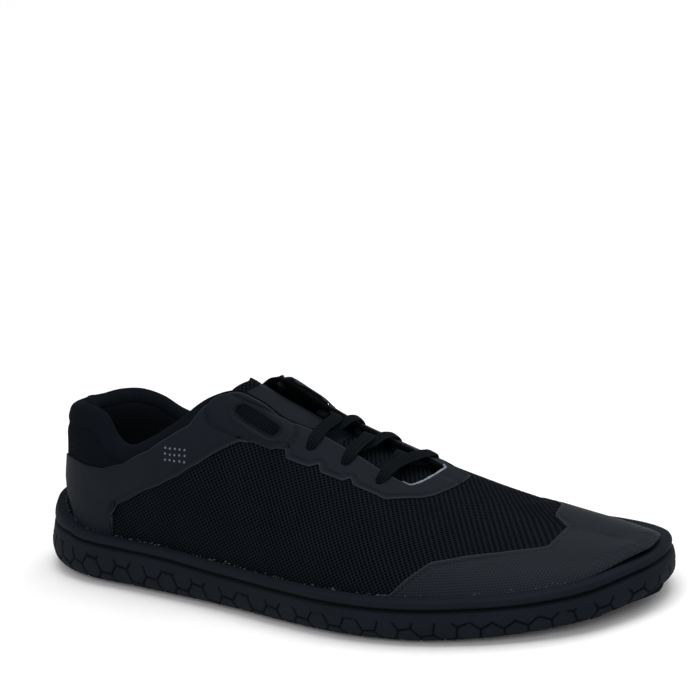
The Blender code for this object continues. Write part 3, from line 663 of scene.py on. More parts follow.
def new_group(name: str, inputs: Sequence[tuple[str, str, float]], outputs: Sequence[str]) -> Graph:
    """An empty node group with its sockets."""
    tree = bpy.data.node_groups.new(name, "ShaderNodeTree")
    for label, kind, value in inputs:
        socket = tree.interface.new_socket(name=label, in_out="INPUT", socket_type=kind)
        if kind == "NodeSocketFloat":
            socket.default_value = value
    for label in outputs:
        tree.interface.new_socket(name=label, in_out="OUTPUT", socket_type="NodeSocketFloat")
    return Graph(tree)


def dot_rows_group() -> bpy.types.NodeTree:
    """Round marks in rows over flat coordinates, each second row moved on by half a step."""
    inputs = (
        ("Vector", "NodeSocketVector", 0.0),
        ("Across", "NodeSocketFloat", 0.0014),
        ("Along", "NodeSocketFloat", 0.0014),
        ("Radius", "NodeSocketFloat", 0.3),
        ("Stagger", "NodeSocketFloat", 0.5),
    )
    graph = new_group("dot_rows", inputs, ("Mask",))
    entry = graph.add("NodeGroupInput").outputs
    parts = graph.add("ShaderNodeSeparateXYZ", Vector=entry["Vector"]).outputs
    v = graph.math("DIVIDE", parts[1], entry["Along"])
    odd = graph.math("MODULO", graph.math("FLOOR", v), 2.0)
    moved = graph.math("MULTIPLY", odd, entry["Stagger"])
    u = graph.math("ADD", graph.math("DIVIDE", parts[0], entry["Across"]), moved)
    du = graph.math("SUBTRACT", graph.math("FRACT", u), 0.5)
    dv = graph.math("SUBTRACT", graph.math("FRACT", v), 0.5)
    squares = graph.math("ADD", graph.math("MULTIPLY", du, du), graph.math("MULTIPLY", dv, dv))
    away = graph.math("SQRT", squares)
    inside = graph.math("SUBTRACT", entry["Radius"], away)
    soft = graph.math("MULTIPLY", inside, 8.0)
    mask = graph.add("ShaderNodeClamp", Value=soft).outputs[0]
    graph.add("NodeGroupOutput", Mask=mask)
    return graph.tree


def grain_group() -> bpy.types.NodeTree:
    """Fine and broad unevenness over the object's own coordinates, around 0."""
    inputs = (("Fine", "NodeSocketFloat", 2500.0), ("Broad", "NodeSocketFloat", 60.0))
    graph = new_group("grain", inputs, ("Fine", "Broad"))
    entry = graph.add("NodeGroupInput").outputs
    spot = graph.add("ShaderNodeTexCoord").outputs["Object"]
    fine = graph.add("ShaderNodeTexNoise", Vector=spot, Scale=entry["Fine"], Detail=2.0).outputs[0]
    broad = graph.add("ShaderNodeTexNoise", Vector=spot, Scale=entry["Broad"], Detail=4.0).outputs[0]
    graph.add(
        "NodeGroupOutput",
        Fine=graph.math("SUBTRACT", fine, 0.5),
        Broad=graph.math("SUBTRACT", broad, 0.5),
    )
    return graph.tree


@dataclass(frozen=True)
class Finish:
    """How a material looks.

    Attributes:
        colour: main colour, linear.
        mark: colour of holes, and the painted shade laid in grooves where the edge value is groove.
        pale: colour of the painted highlight along cut edges.
        roughness: of the main surface.
        specular: level of the mirror part.
        pitch: spacing of the marks across and along.
        radius: of a mark as a share of the spacing.
        stagger: how far each second row is moved on.
        flat: name of the flat coordinates that the marks follow.
        turn: turn of the rows of marks, in degrees.
        relief: depth of marks and grain in the surface, as bump.
    """

    name: str
    colour: tuple[float, float, float]
    mark: tuple[float, float, float] = (0.002, 0.002, 0.003)
    pale: tuple[float, float, float] = (0.030, 0.034, 0.040)
    roughness: float = 0.8
    specular: float = 0.2
    pitch: tuple[float, float] | None = None
    radius: float = 0.3
    stagger: float = 0.5
    flat: str = "length"
    turn: float = 0.0
    relief: float = 0.0002
    unevenness: float = 0.25
    edge: str | None = None


MESH = Finish(
    "looks_mesh_fabric", (0.0056, 0.0074, 0.0102), mark=(0.0002, 0.0002, 0.0004), roughness=0.9,
    specular=0.02, pitch=(0.00128, 0.00167), radius=0.40, stagger=0.0, turn=-59.0, relief=0.0003,
)
KNIT = Finish(
    "looks_collar_knit", (0.0046, 0.0062, 0.0092), mark=(0.0009, 0.0013, 0.0020), roughness=0.95,
    specular=0.02, pitch=(0.00095, 0.00105), radius=0.38, stagger=0.0, flat="girth",
)
# The real knit inside the collar, its colour painted lighter than the outer knit to stand in for light.
PAINTED_LIGHT_INNER_KNIT = Finish(
    "looks_inner_knit", (0.0130, 0.0160, 0.0210), mark=(0.0030, 0.0040, 0.0055), roughness=0.95,
    specular=0.02, pitch=(0.00110, 0.00120), radius=0.36, stagger=0.0, flat="girth",
)
BINDING = Finish(
    "looks_collar_binding", (0.0050, 0.0067, 0.0098), mark=(0.0018, 0.0025, 0.0038), roughness=0.95,
    specular=0.02, pitch=(0.00090, 0.00090), radius=0.36, stagger=0.0, flat="girth",
)
LINING = Finish(
    "looks_lining", (0.0022, 0.0026, 0.0034), mark=(0.0010, 0.0012, 0.0016), roughness=0.95,
    specular=0.02, pitch=(0.0012, 0.0012), radius=0.3, flat="girth",
)
# pale is a painted highlight along the film's cut edges.
FILM = Finish(
    "looks_bonded_film", (0.0066, 0.0086, 0.0122), pale=(0.034, 0.041, 0.050), roughness=0.6,
    specular=0.045, relief=0.00008, unevenness=0.15, edge="edge",
)
# pale is a painted highlight along the cap film's cut edge.
CAP_FILM = Finish(
    "looks_toe_film", (0.0118, 0.0146, 0.0196), mark=(0.0052, 0.0067, 0.0094), pale=(0.040, 0.047, 0.056),
    roughness=0.55, specular=0.05, pitch=(0.0012, 0.0012), radius=0.40, stagger=0.0, relief=0.0001,
    unevenness=0.15, edge="edge",
)
# mark is painted shade in the engraved cell lines and the wall groove.
RUBBER = Finish(
    "looks_sole_rubber", (0.0068, 0.0090, 0.0130), mark=(0.0005, 0.0007, 0.0011), roughness=0.7,
    specular=0.04, relief=0.00012, unevenness=0.25, edge="groove",
)
INSOLE = Finish("looks_insole", (0.0022, 0.0026, 0.0034), roughness=0.95, specular=0.02)
# mark is the weave marks' colour and also painted shade in the rib grooves.
LACE = Finish(
    "looks_flat_lace", (0.0070, 0.0094, 0.0122), mark=(0.0007, 0.0010, 0.0014), roughness=0.85,
    specular=0.03, pitch=(0.0005, 0.0009), radius=0.34, flat="run", edge="groove",
)
HEM = Finish("looks_cut_hem", (0.20, 0.22, 0.25), roughness=0.8, specular=0.1, unevenness=0.6)
LINT = Finish("looks_rim_specks", (0.060, 0.067, 0.076), roughness=0.9, specular=0.05)
DOTS = Finish("looks_reflective_dots", (0.10, 0.11, 0.13), roughness=0.5, specular=0.2, unevenness=0.3)
FLOOR = Finish("looks_floor", (0.93, 0.93, 0.93), roughness=0.95, specular=0.0, unevenness=0.01)


class Palette:
    """Makes each finish's material once."""

    def __init__(self) -> None:
        """Starts with the shared node groups."""
        self.dots = dot_rows_group()
        self.grain = grain_group()
        self.made: dict[str, bpy.types.Material] = {}

    def get(self, finish: Finish) -> bpy.types.Material:
        """The finish's material."""
        if finish.name not in self.made:
            self.made[finish.name] = self.make(finish)
        return self.made[finish.name]

    def make(self, finish: Finish) -> bpy.types.Material:
        """Wires one material: colour with marks, unevenness, painted edge highlight or painted groove shade,
        and a low bump.
        """
        material = bpy.data.materials.new(finish.name)
        material.use_nodes = True
        graph = Graph(material.node_tree)
        shader = material.node_tree.nodes["Principled BSDF"]
        shader.inputs["Roughness"].default_value = finish.roughness
        shader.inputs["Specular IOR Level"].default_value = finish.specular
        grain = graph.add("ShaderNodeGroup", node_tree=self.grain).outputs
        both = graph.math("ADD", grain["Fine"], grain["Broad"])
        shift = graph.math("MULTIPLY", both, finish.unevenness * 2)
        level = graph.math("ADD", 1.0, shift)
        scaled = graph.add("ShaderNodeVectorMath", operation="SCALE", in0=finish.colour, Scale=level)
        colour = scaled.outputs[0]
        height = grain["Fine"]
        if finish.pitch:
            flat = graph.add("ShaderNodeUVMap", uv_map=finish.flat).outputs[0]
            if finish.turn:
                back = (0.0, 0.0, -math.radians(finish.turn))
                flat = graph.add("ShaderNodeMapping", Vector=flat, Rotation=back).outputs[0]
            marks = graph.add(
                "ShaderNodeGroup", node_tree=self.dots, Vector=flat, Across=finish.pitch[0],
                Along=finish.pitch[1], Radius=finish.radius, Stagger=finish.stagger,
            ).outputs[0]
            colour = graph.blend(marks, colour, (*finish.mark, 1.0))
            height = graph.math("SUBTRACT", graph.math("MULTIPLY", height, 0.4), marks)
        # Painted light: the edge value lays pale as a painted highlight on cut edges, or with groove the
        # mark colour as painted shade in grooves.
        if finish.edge:
            share = graph.add("ShaderNodeAttribute", attribute_name=finish.edge).outputs["Fac"]
            other = finish.mark if finish.edge == "groove" else finish.pale
            colour = graph.blend(share, colour, (*other, 1.0))
        bump = graph.add("ShaderNodeBump", Strength=0.6, Distance=finish.relief, Height=height)
        material.node_tree.links.new(colour, shader.inputs["Base Color"])
        material.node_tree.links.new(bump.outputs[0], shader.inputs["Normal"])
        return material


@dataclass
class Shoe:
    """What all pieces share."""

    last: Last
    palette: Palette
    collection: bpy.types.Collection

    def piece(
        self, name: str, shape: bmesh.types.BMesh, finishes: Sequence[Finish], slot: str,
        nodes: Sequence[str] = (), sharp: float = 40.0,
    ) -> bpy.types.Object:
        """Turns a finished shape into a named piece of the shoe.

        Args:
            name: the piece's name.
            shape: its shape, freed here.
            finishes: one for each material number of its faces.
            slot: not used.
            nodes: the CAD nodes that it stands for.
            sharp: angle in degrees from which an edge is left sharp.

        Returns:
            The object.
        """
        mesh = bpy.data.meshes.new(name)
        limit = math.radians(sharp)
        for face in shape.faces:
            face.smooth = True
        for edge in shape.edges:
            edge.smooth = len(edge.link_faces) != 2 or edge.calc_face_angle(0.0) < limit
        shape.to_mesh(mesh)
        shape.free()
        made = bpy.data.objects.new(name, mesh)
        for finish in finishes:
            mesh.materials.append(self.palette.get(finish))
        self.collection.objects.link(made)
        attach(made, "root")
        if nodes:
            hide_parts(*nodes)
        LOG.info("%s: %d faces", name, len(mesh.polygons))
        return made

    @staticmethod
    def thicken(made: bpy.types.Object, thickness: float) -> bpy.types.Object:
        """Gives a sheet its thickness, inward."""
        solid = made.modifiers.new("Thickness", "SOLIDIFY")
        solid.thickness = thickness
        solid.offset = -1.0
        solid.use_even_offset = False
        return made

    def settle(self, made: bpy.types.Object) -> None:
        """Bakes a piece's modifiers into its mesh."""
        graph = bpy.context.evaluated_depsgraph_get()
        mesh = bpy.data.meshes.new_from_object(made.evaluated_get(graph))
        old = made.data
        made.modifiers.clear()
        made.data = mesh
        bpy.data.meshes.remove(old)
        mesh.name = made.name


def way_up(points: Points) -> Shares:
    """Distance run along each section from its first row."""
    steps = np.linalg.norm(np.diff(points, axis=1), axis=-1)
    return np.concatenate([np.zeros((len(points), 1)), np.cumsum(steps, axis=1)], axis=1)


def length_flat(last: Last, points: Points) -> Shares:
    """Flat coordinates: along the shoe's length, and up each section."""
    return np.stack([points[..., 0] + last.sizes.origin_x, way_up(points)], -1)


def girth_flat(points: Points) -> Shares:
    """Flat coordinates: round the shoe at mid height, and up each section."""
    middle = points[:, points.shape[1] // 3]
    run = np.concatenate([[0.0], np.cumsum(np.linalg.norm(np.diff(middle, axis=0), axis=-1))])
    up = way_up(points)
    return np.stack([np.broadcast_to(run[:, None], up.shape), up], -1)


def nearest(points: Points, line: Points) -> Shares:
    """Distance from each point to a line of close points."""
    flat = points.reshape(-1, 3)
    best = np.full(len(flat), np.inf)
    for start in range(0, len(line), 40):
        gaps = np.linalg.norm(flat[:, None] - line[None, start:start + 40], axis=-1)
        best = np.minimum(best, gaps.min(axis=1))
    return best.reshape(points.shape[:-1])


def creased(last: Last, around: Shares, rise: Shares) -> Shares:
    """How far the listed creases press the surface in."""
    points = last.skin(around, rise)
    pressed = np.zeros(points.shape[:-1])
    for place, height, angle, length, width, depth in CREASES[1:]:
        spot = np.array([place]), np.array([height])
        centre = last.skin(*spot)[0]
        outward = last.normal(*spot)[0]
        level = unit(np.cross(np.array([0.0, 0.0, 1.0]), outward))
        upright = np.cross(outward, level)
        turned = math.radians(angle)
        along = level * math.cos(turned) + upright * math.sin(turned)
        across = np.cross(outward, along)
        gap = points - centre
        shape = np.exp(-((gap @ along) / (length / 2)) ** 2 * 2) * np.exp(-((gap @ across) / width) ** 2 * 2)
        near = np.exp(-((gap @ outward) / (width * 2)) ** 2)
        pressed += depth * shape * near
    return pressed


@dataclass
class Upper:
    """The upper's mesh, its knit collar and its lining, one hollow piece."""

    shoe: Shoe
    turns_count: int = 321
    outer_rows: int = 46
    roll_rows: int = 9
    inner_rows: int = 18
    seam_share: float = 0.90
    seam_depth: float = 0.0007
    seam_width: float = 0.035
    # Share of the inner rows given the knit painted lighter.
    knit_share: float = 0.45

    def around(self) -> Shares:
        """Places of the columns, closer together at the front of the throat."""
        last = self.shoe.last
        end = last.sizes.throat_end
        turns = np.concatenate(
            [np.linspace(0.0, 1.0, self.turns_count), np.linspace(end - 0.027, end, 21), [0.3925, 0.3975]]
        )
        turns = np.unique(np.round(turns, 5))
        return np.concatenate([turns, 2.0 - turns[-2::-1]])

    def collar_line(self, around: Shares) -> Shares:
        """Rise of the edge between mesh or film and the knit collar."""
        return straight(SADDLE_TOP, "rise", self.shoe.last.split(around)[1])

    def build(self) -> bpy.types.Object:
        """Lays the wall on the form: outer face, rounded top, inner face and back to the start."""
        last = self.shoe.last
        around = self.around()
        opening = last.opening(around)
        shares = np.linspace(0.0, 1.0, self.outer_rows)
        angles = np.linspace(0.0, math.pi, self.roll_rows + 2)[1:-1]
        rows = []
        padded = last.padding(around, 1.0) > 0.004
        for share in shares:
            seam = np.exp(-(((share - self.seam_share) / self.seam_width) ** 2)) * self.seam_depth * padded
            out = last.bulge(around, share) - seam - creased(last, around, opening * share)
            rows.append(last.off(around, opening * share, out))
        rows += [last.roll(around, np.full_like(around, angle)) for angle in angles]
        for share in np.linspace(1.0, 0.0, self.inner_rows):
            out = last.bulge(around, share) - last.padding(around, share)
            rows.append(last.off(around, opening * share, out))
        rows.append(rows[0])
        points = np.stack(rows, axis=1)
        slots = self.slots(around, opening, shares, len(rows))
        length = length_flat(last, points)
        ridge = length[:, self.outer_rows - 1, 1]
        inner = ~last.split(around)[0]
        length[inner, :, 1] = (ridge[::-1] + ridge)[inner, None] - length[inner, :, 1]
        sheet = Sheet(points, flats={"length": length, "girth": girth_flat(points)}, slots=slots)
        closed = last.split(around)[1] >= last.sizes.throat_end - 1e-6
        first_roll = self.outer_rows - 1
        first_inner = self.outer_rows + self.roll_rows

        def over_ridge(i: int, j: int) -> bool:
            return bool(first_roll <= j < first_inner and closed[i] and closed[min(i + 1, len(closed) - 1)])

        shape = sheet.shape(over_ridge)
        bmesh.ops.recalc_face_normals(shape, faces=shape.faces)
        finishes = (MESH, KNIT, LINING, BINDING, PAINTED_LIGHT_INNER_KNIT)
        return self.shoe.piece("upper_cloth", shape, finishes, "mesh_fabric", ("upper",))

    def slots(self, around: Shares, opening: Shares, shares: Shares, rows: int) -> Shares:
        """Material number of each cell: 0 mesh, 1 knit, 2 lining, 3 the rounded edge, 4 knit inside, painted
        lighter to stand in for light.
        """
        slots = np.zeros((len(around), rows), int)
        line = self.collar_line(around)
        padded = self.shoe.last.split(around)[1] < 0.392
        for j, share in enumerate(shares):
            slots[:, j] = np.where(padded & (opening * share > line - 0.012), 1, 0)
            slots[:, j] = np.where(padded & (share > self.seam_share), 3, slots[:, j])
        roll = slice(self.outer_rows - 1, self.outer_rows + self.roll_rows)
        slots[:, roll] = np.where(padded, 3, 2)[:, None]
        first = self.outer_rows + self.roll_rows
        slots[:, first:] = 2
        # The upper inner rows of the padded collar take the knit painted lighter.
        lined = first + round(self.inner_rows * self.knit_share)
        slots[:, first:lined] = np.where(padded, 4, 2)[:, None]
        return slots


def punch(
    shoe: Shoe, targets: Sequence[bpy.types.Object], radius: float = 0.0014, depth: float = 0.008,
) -> None:
    """Cuts the eyelet holes through the given pieces."""
    shape = bmesh.new()
    for row in EYELETS[1:]:
        for side in Side:
            place, rise = (np.array([v]) for v in shoe.last.eyelet(row[0], side))
            spot = Vector(shoe.last.skin(place, rise)[0])
            outward = Vector(shoe.last.normal(place, rise)[0])
            turned = outward.to_track_quat("Z", "Y").to_matrix().to_4x4()
            bmesh.ops.create_cone(
                shape, cap_ends=True, segments=20, radius1=radius, radius2=radius, depth=depth,
                matrix=Matrix.Translation(spot) @ turned,
            )
    mesh = bpy.data.meshes.new("eyelet_punch")
    shape.to_mesh(mesh)
    shape.free()
    cutter = bpy.data.objects.new("eyelet_punch", mesh)
    shoe.collection.objects.link(cutter)
    for target in targets:
        cut = target.modifiers.new("Eyelets", "BOOLEAN")
        cut.object = cutter
        cut.operation = "DIFFERENCE"
        cut.solver = "EXACT"
        shoe.settle(target)
    bpy.data.objects.remove(cutter, do_unlink=True)
    bpy.data.meshes.remove(mesh)


@dataclass
class Films:
    """The saddle film with its raised ring, and the toe cap film."""

    shoe: Shoe
    proud: float = 0.0006
    thickness: float = 0.00055
    columns: int = 230
    rows: int = 54
    rear: float = 0.128
    tip: float = 0.637
    inner_tip: float = 0.07
    corner: float = 0.014
    rear_low: float = 0.179
    groove_inset: float = 0.0020
    groove_depth: float = 0.00045
    groove_width: float = 0.00050
    # Width of the painted highlight along the films' cut edges.
    painted_highlight: float = 0.00038
    ring_half_width: float = 0.0068
    ring_height: float = 0.0015
    ring_shoulder: float = 0.0012
    slot_half_width: float = 0.0031
    slot_depth: float = 0.0008
    dots_turn: float = 0.360
    dots_rise: float = 0.375
    dots_pitch: float = 0.0024
    hem_radius: float = 0.00042
    cap_columns: int = 420
    cap_rows: int = 46
    toe_fill: float = 0.0030

    def top_edge(self, around: Shares) -> Shares:
        """Upper edge of the saddle film."""
        last = self.shoe.last
        turn = last.split(around)[1]
        rise = np.minimum(straight(SADDLE_TOP, "rise", turn), last.opening(around) - 0.006)
        return np.where(turn >= last.sizes.throat_end - 0.001, 1.0, rise)

    def low_edge(self, around: Shares) -> Shares:
        """Lower edge of the saddle film."""
        last = self.shoe.last
        outer, turn = last.split(around)
        tip = np.where(outer, 0.0, self.inner_tip * np.exp(-(((turn - 0.630) / 0.010) ** 2)))
        return np.maximum(straight(SADDLE_LOW, "rise", turn) - tip, last.rim_rise(around) - 0.02)

    def oval(self, points: Points, side: Side, name: str, half_width: float) -> Shares:
        """Distance of points outside an oval between its two tips, negative inside.

        Args:
            points: places on the film.
            side: side of the shoe.
            name: of the oval in the table.
            half_width: half its width.

        Returns:
            The distance, large for places on other parts of the form.
        """
        last = self.shoe.last
        row = next(row for row in OVALS if row[0] == name)
        turns = np.array([row[1], row[3]])
        rises = np.array([row[2], row[4]])
        around = turns if side is Side.LATERAL else 2.0 - turns
        tips = last.skin(around, rises)
        centre = last.skin(around.mean(keepdims=True), rises.mean(keepdims=True))[0]
        outward = last.normal(around.mean(keepdims=True), rises.mean(keepdims=True))[0]
        along = tips[1] - tips[0]
        along = along - outward * (along @ outward)
        straight_part = max(np.linalg.norm(along) / 2 - half_width, 0.0)
        along = unit(along)
        gap = points - centre
        reach = np.maximum(np.abs(gap @ along) - straight_part, 0.0)
        away = np.hypot(reach, gap @ np.cross(outward, along)) - half_width
        return np.where(np.abs(gap @ outward) < 0.012, away, 1.0)

    def ring_relief(self, points: Points, side: Side) -> Shares:
        """The raised oval round the two top eyelets and the slot sunk inside it."""
        outer = self.oval(points, side, "ring", self.ring_half_width)
        inner = self.oval(points, side, "slot", self.slot_half_width)
        raised = ease(0.5 - outer / self.ring_shoulder)
        trough = np.exp(-(((outer - self.ring_shoulder * 0.7) / (self.ring_shoulder * 0.45)) ** 2))
        fall = ease(inner / (self.ring_half_width - self.slot_half_width))
        crown = 0.45 + 0.55 * np.sin(np.pi * np.clip(fall * 0.9 + 0.1, 0.0, 1.0))
        slot = ease(0.5 - inner / (self.ring_shoulder * 0.6))
        relief = self.ring_height * raised * crown * (1 - slot)
        return relief - self.ring_height * 0.40 * trough - self.slot_depth * slot * 0.5

    def half(self, side: Side) -> Sheet:
        """One side of the saddle."""
        last = self.shoe.last
        end = last.sizes.throat_end
        evenly = np.linspace(self.rear, self.tip, self.columns)
        turns = np.unique(np.concatenate([evenly, [0.2665, 0.2695, end, end - 0.0005]]))
        share = np.linspace(0.0, 1.0, self.rows)
        turn = np.broadcast_to(turns[:, None], (len(turns), self.rows)).copy()
        flip = (lambda t: t) if side is Side.LATERAL else (lambda t: 2.0 - t)
        low = self.low_edge(flip(turn))
        rise = low + (self.top_edge(flip(turn)) - low) * share
        back = np.maximum(0.0, 1 - (turn - self.rear) / 0.07)
        turn += (self.rear_low - self.rear) * back * (1 - ease((rise - 0.13) / 0.09))
        turn += self.corner * np.exp(-(((turn - 0.268) / 0.006) ** 2)) * (1 - ease((rise - 0.05) / 0.07))
        around = flip(turn)
        low = self.low_edge(around)
        top = self.top_edge(around)
        rise = low + (top - low) * share
        bulge = last.bulge(around, rise / last.opening(around))
        points = last.off(around, rise, self.proud + bulge)
        line = np.linspace(self.rear, self.tip, 900)
        edge = np.concatenate(
            [
                last.off(flip(line), self.low_edge(flip(line)), self.proud),
                last.off(flip(line), self.top_edge(flip(line)), self.proud),
                points[0],
            ]
        )
        away = nearest(points, edge)
        ridge = (turn >= last.sizes.throat_end - 0.001) & (share > 0.999)
        lobed = nearest(points, last.off(flip(line), self.low_edge(flip(line)), self.proud))
        relief = self.ring_relief(points, side)
        groove = np.exp(-(((lobed - self.groove_inset) / self.groove_width) ** 2))
        relief = relief - self.groove_depth * groove
        relief = relief - creased(last, around, rise)
        points = last.off(around, rise, self.proud + bulge + relief)
        # Painted highlight along the saddle film's cut edges, left off on the ridge.
        painted_highlight = np.exp(-((away / self.painted_highlight) ** 2)) * 0.6
        painted_highlight = np.where(ridge, 0.0, painted_highlight)
        return Sheet(points, values={"edge": painted_highlight}, flats={"length": length_flat(last, points)})

    def build_saddle(self) -> bpy.types.Object:
        """Both sides of the saddle, joined on the ridge in front of the throat."""
        shape = bmesh.new()
        for side in Side:
            merge(shape, self.half(side).shape())
        bmesh.ops.remove_doubles(shape, verts=shape.verts, dist=0.000012)
        bmesh.ops.recalc_face_normals(shape, faces=shape.faces)
        return self.film("saddle_film", shape, FILM, ("saddle_overlay",))

    def film(
        self, name: str, shape: bmesh.types.BMesh, finish: Finish, nodes: Sequence[str],
    ) -> bpy.types.Object:
        """A film piece from its sheet."""
        face_away(shape, Vector((0.0, 0.0, self.shoe.last.sizes.footbed)))
        made = self.shoe.piece(name, shape, (finish,), "bonded_film", nodes)
        return self.shoe.thicken(made, self.thickness)

    def build_cap(self) -> bpy.types.Object:
        """The film over the toe, from the rim to its notched edge."""
        last = self.shoe.last
        places = column(CAP_TOP, "around")
        around = np.unique(np.concatenate([np.linspace(places[0], places[-1], self.cap_columns), places]))
        low = last.rim_rise(around) - 0.03
        top = np.maximum(np.interp(around, places, column(CAP_TOP, "rise")), low + 0.035)
        share = np.linspace(0.0, 1.0, self.cap_rows)
        rise = low[:, None] + (top - low)[:, None] * share
        place = np.broadcast_to(around[:, None], rise.shape)
        edge = last.off(around, top, self.proud)
        on_ridge = top > 0.999
        points = last.off(place, rise, self.proud)
        away = nearest(points, edge[~on_ridge])
        relief = -self.groove_depth * np.exp(-(((away - self.groove_inset) / self.groove_width) ** 2))
        relief -= creased(last, place, rise)
        tip = ease((last.split(place)[1] - 0.84) / 0.11)
        relief += self.toe_fill * tip * (1 - ease((rise - low[:, None] - 0.05) / 0.45))
        points = last.off(place, rise, self.proud + relief)
        # Painted highlight along the cap film's cut edge.
        painted_highlight = np.exp(-((away / self.painted_highlight) ** 2)) * 0.6
        shape = Sheet(points, values={"edge": painted_highlight}, flats={"length": length_flat(last, points)}).shape()
        bmesh.ops.recalc_face_normals(shape, faces=shape.faces)
        return self.film("toe_cap_film", shape, CAP_FILM, ("toe_cap",))

    def build_hem(self) -> bpy.types.Object:
        """The pale cut edge round the front of the throat."""
        last = self.shoe.last
        end = last.sizes.throat_end - 0.0004
        around = np.concatenate([np.linspace(0.589, end, 90), 2.0 - np.linspace(end, 0.600, 40)])
        angles = np.linspace(0.0, 2 * math.pi, 9)
        frayed = np.random.default_rng(3).uniform(0.65, 1.35, len(around))
        radius = self.hem_radius * frayed * np.minimum(1.0, 0.3 + 40 * np.abs(around - around[0]))
        rows = []
        for angle in angles:
            lift = last.edge_direction(around) * math.cos(angle)
            out = last.normal(around, last.opening(around)) * math.sin(angle)
            centre = last.off(around, last.opening(around) - 0.004, self.proud)
            rows.append(centre + (lift + out) * radius[:, None])
        shape = Sheet(np.stack(rows, axis=1)).shape()
        close_ends(shape)
        bmesh.ops.recalc_face_normals(shape, faces=shape.faces)
        return self.shoe.piece("throat_hem", shape, (HEM,), "bonded_film")

    def build_dots(self) -> bpy.types.Object:
        """A plain square field of small equal dots on the quarter."""
        last = self.shoe.last
        shape = bmesh.new()
        middle = np.array([self.dots_turn]), np.array([self.dots_rise])
        outward = last.normal(*middle)[0]
        level = unit(np.cross(np.array([0.0, 0.0, 1.0]), outward))
        upright = np.cross(outward, level)
        turns, rises = np.meshgrid(np.linspace(0.32, 0.41, 161), np.linspace(0.24, 0.56, 161), indexing="ij")
        gap = last.skin(turns, rises) - last.skin(*middle)[0]
        for i in range(-2, 3):
            for j in range(-1, 2):
                away = np.hypot(gap @ level + i * self.dots_pitch, gap @ upright - j * self.dots_pitch)
                place = np.unravel_index(np.argmin(away), away.shape)
                around, rise = np.array([turns[place]]), np.array([rises[place]])
                lift = self.proud + last.bulge(around, rise / last.opening(around))
                spot = Vector(last.off(around, rise, lift)[0])
                turned = Vector(last.normal(around, rise)[0]).to_track_quat("Z", "Y").to_matrix().to_4x4()
                bmesh.ops.create_cone(
                    shape, cap_ends=True, segments=12, radius1=0.00055, radius2=0.00045, depth=0.0003,
                    matrix=Matrix.Translation(spot) @ turned,
                )
        return self.shoe.piece("reflective_dots", shape, (DOTS,), "bonded_film")


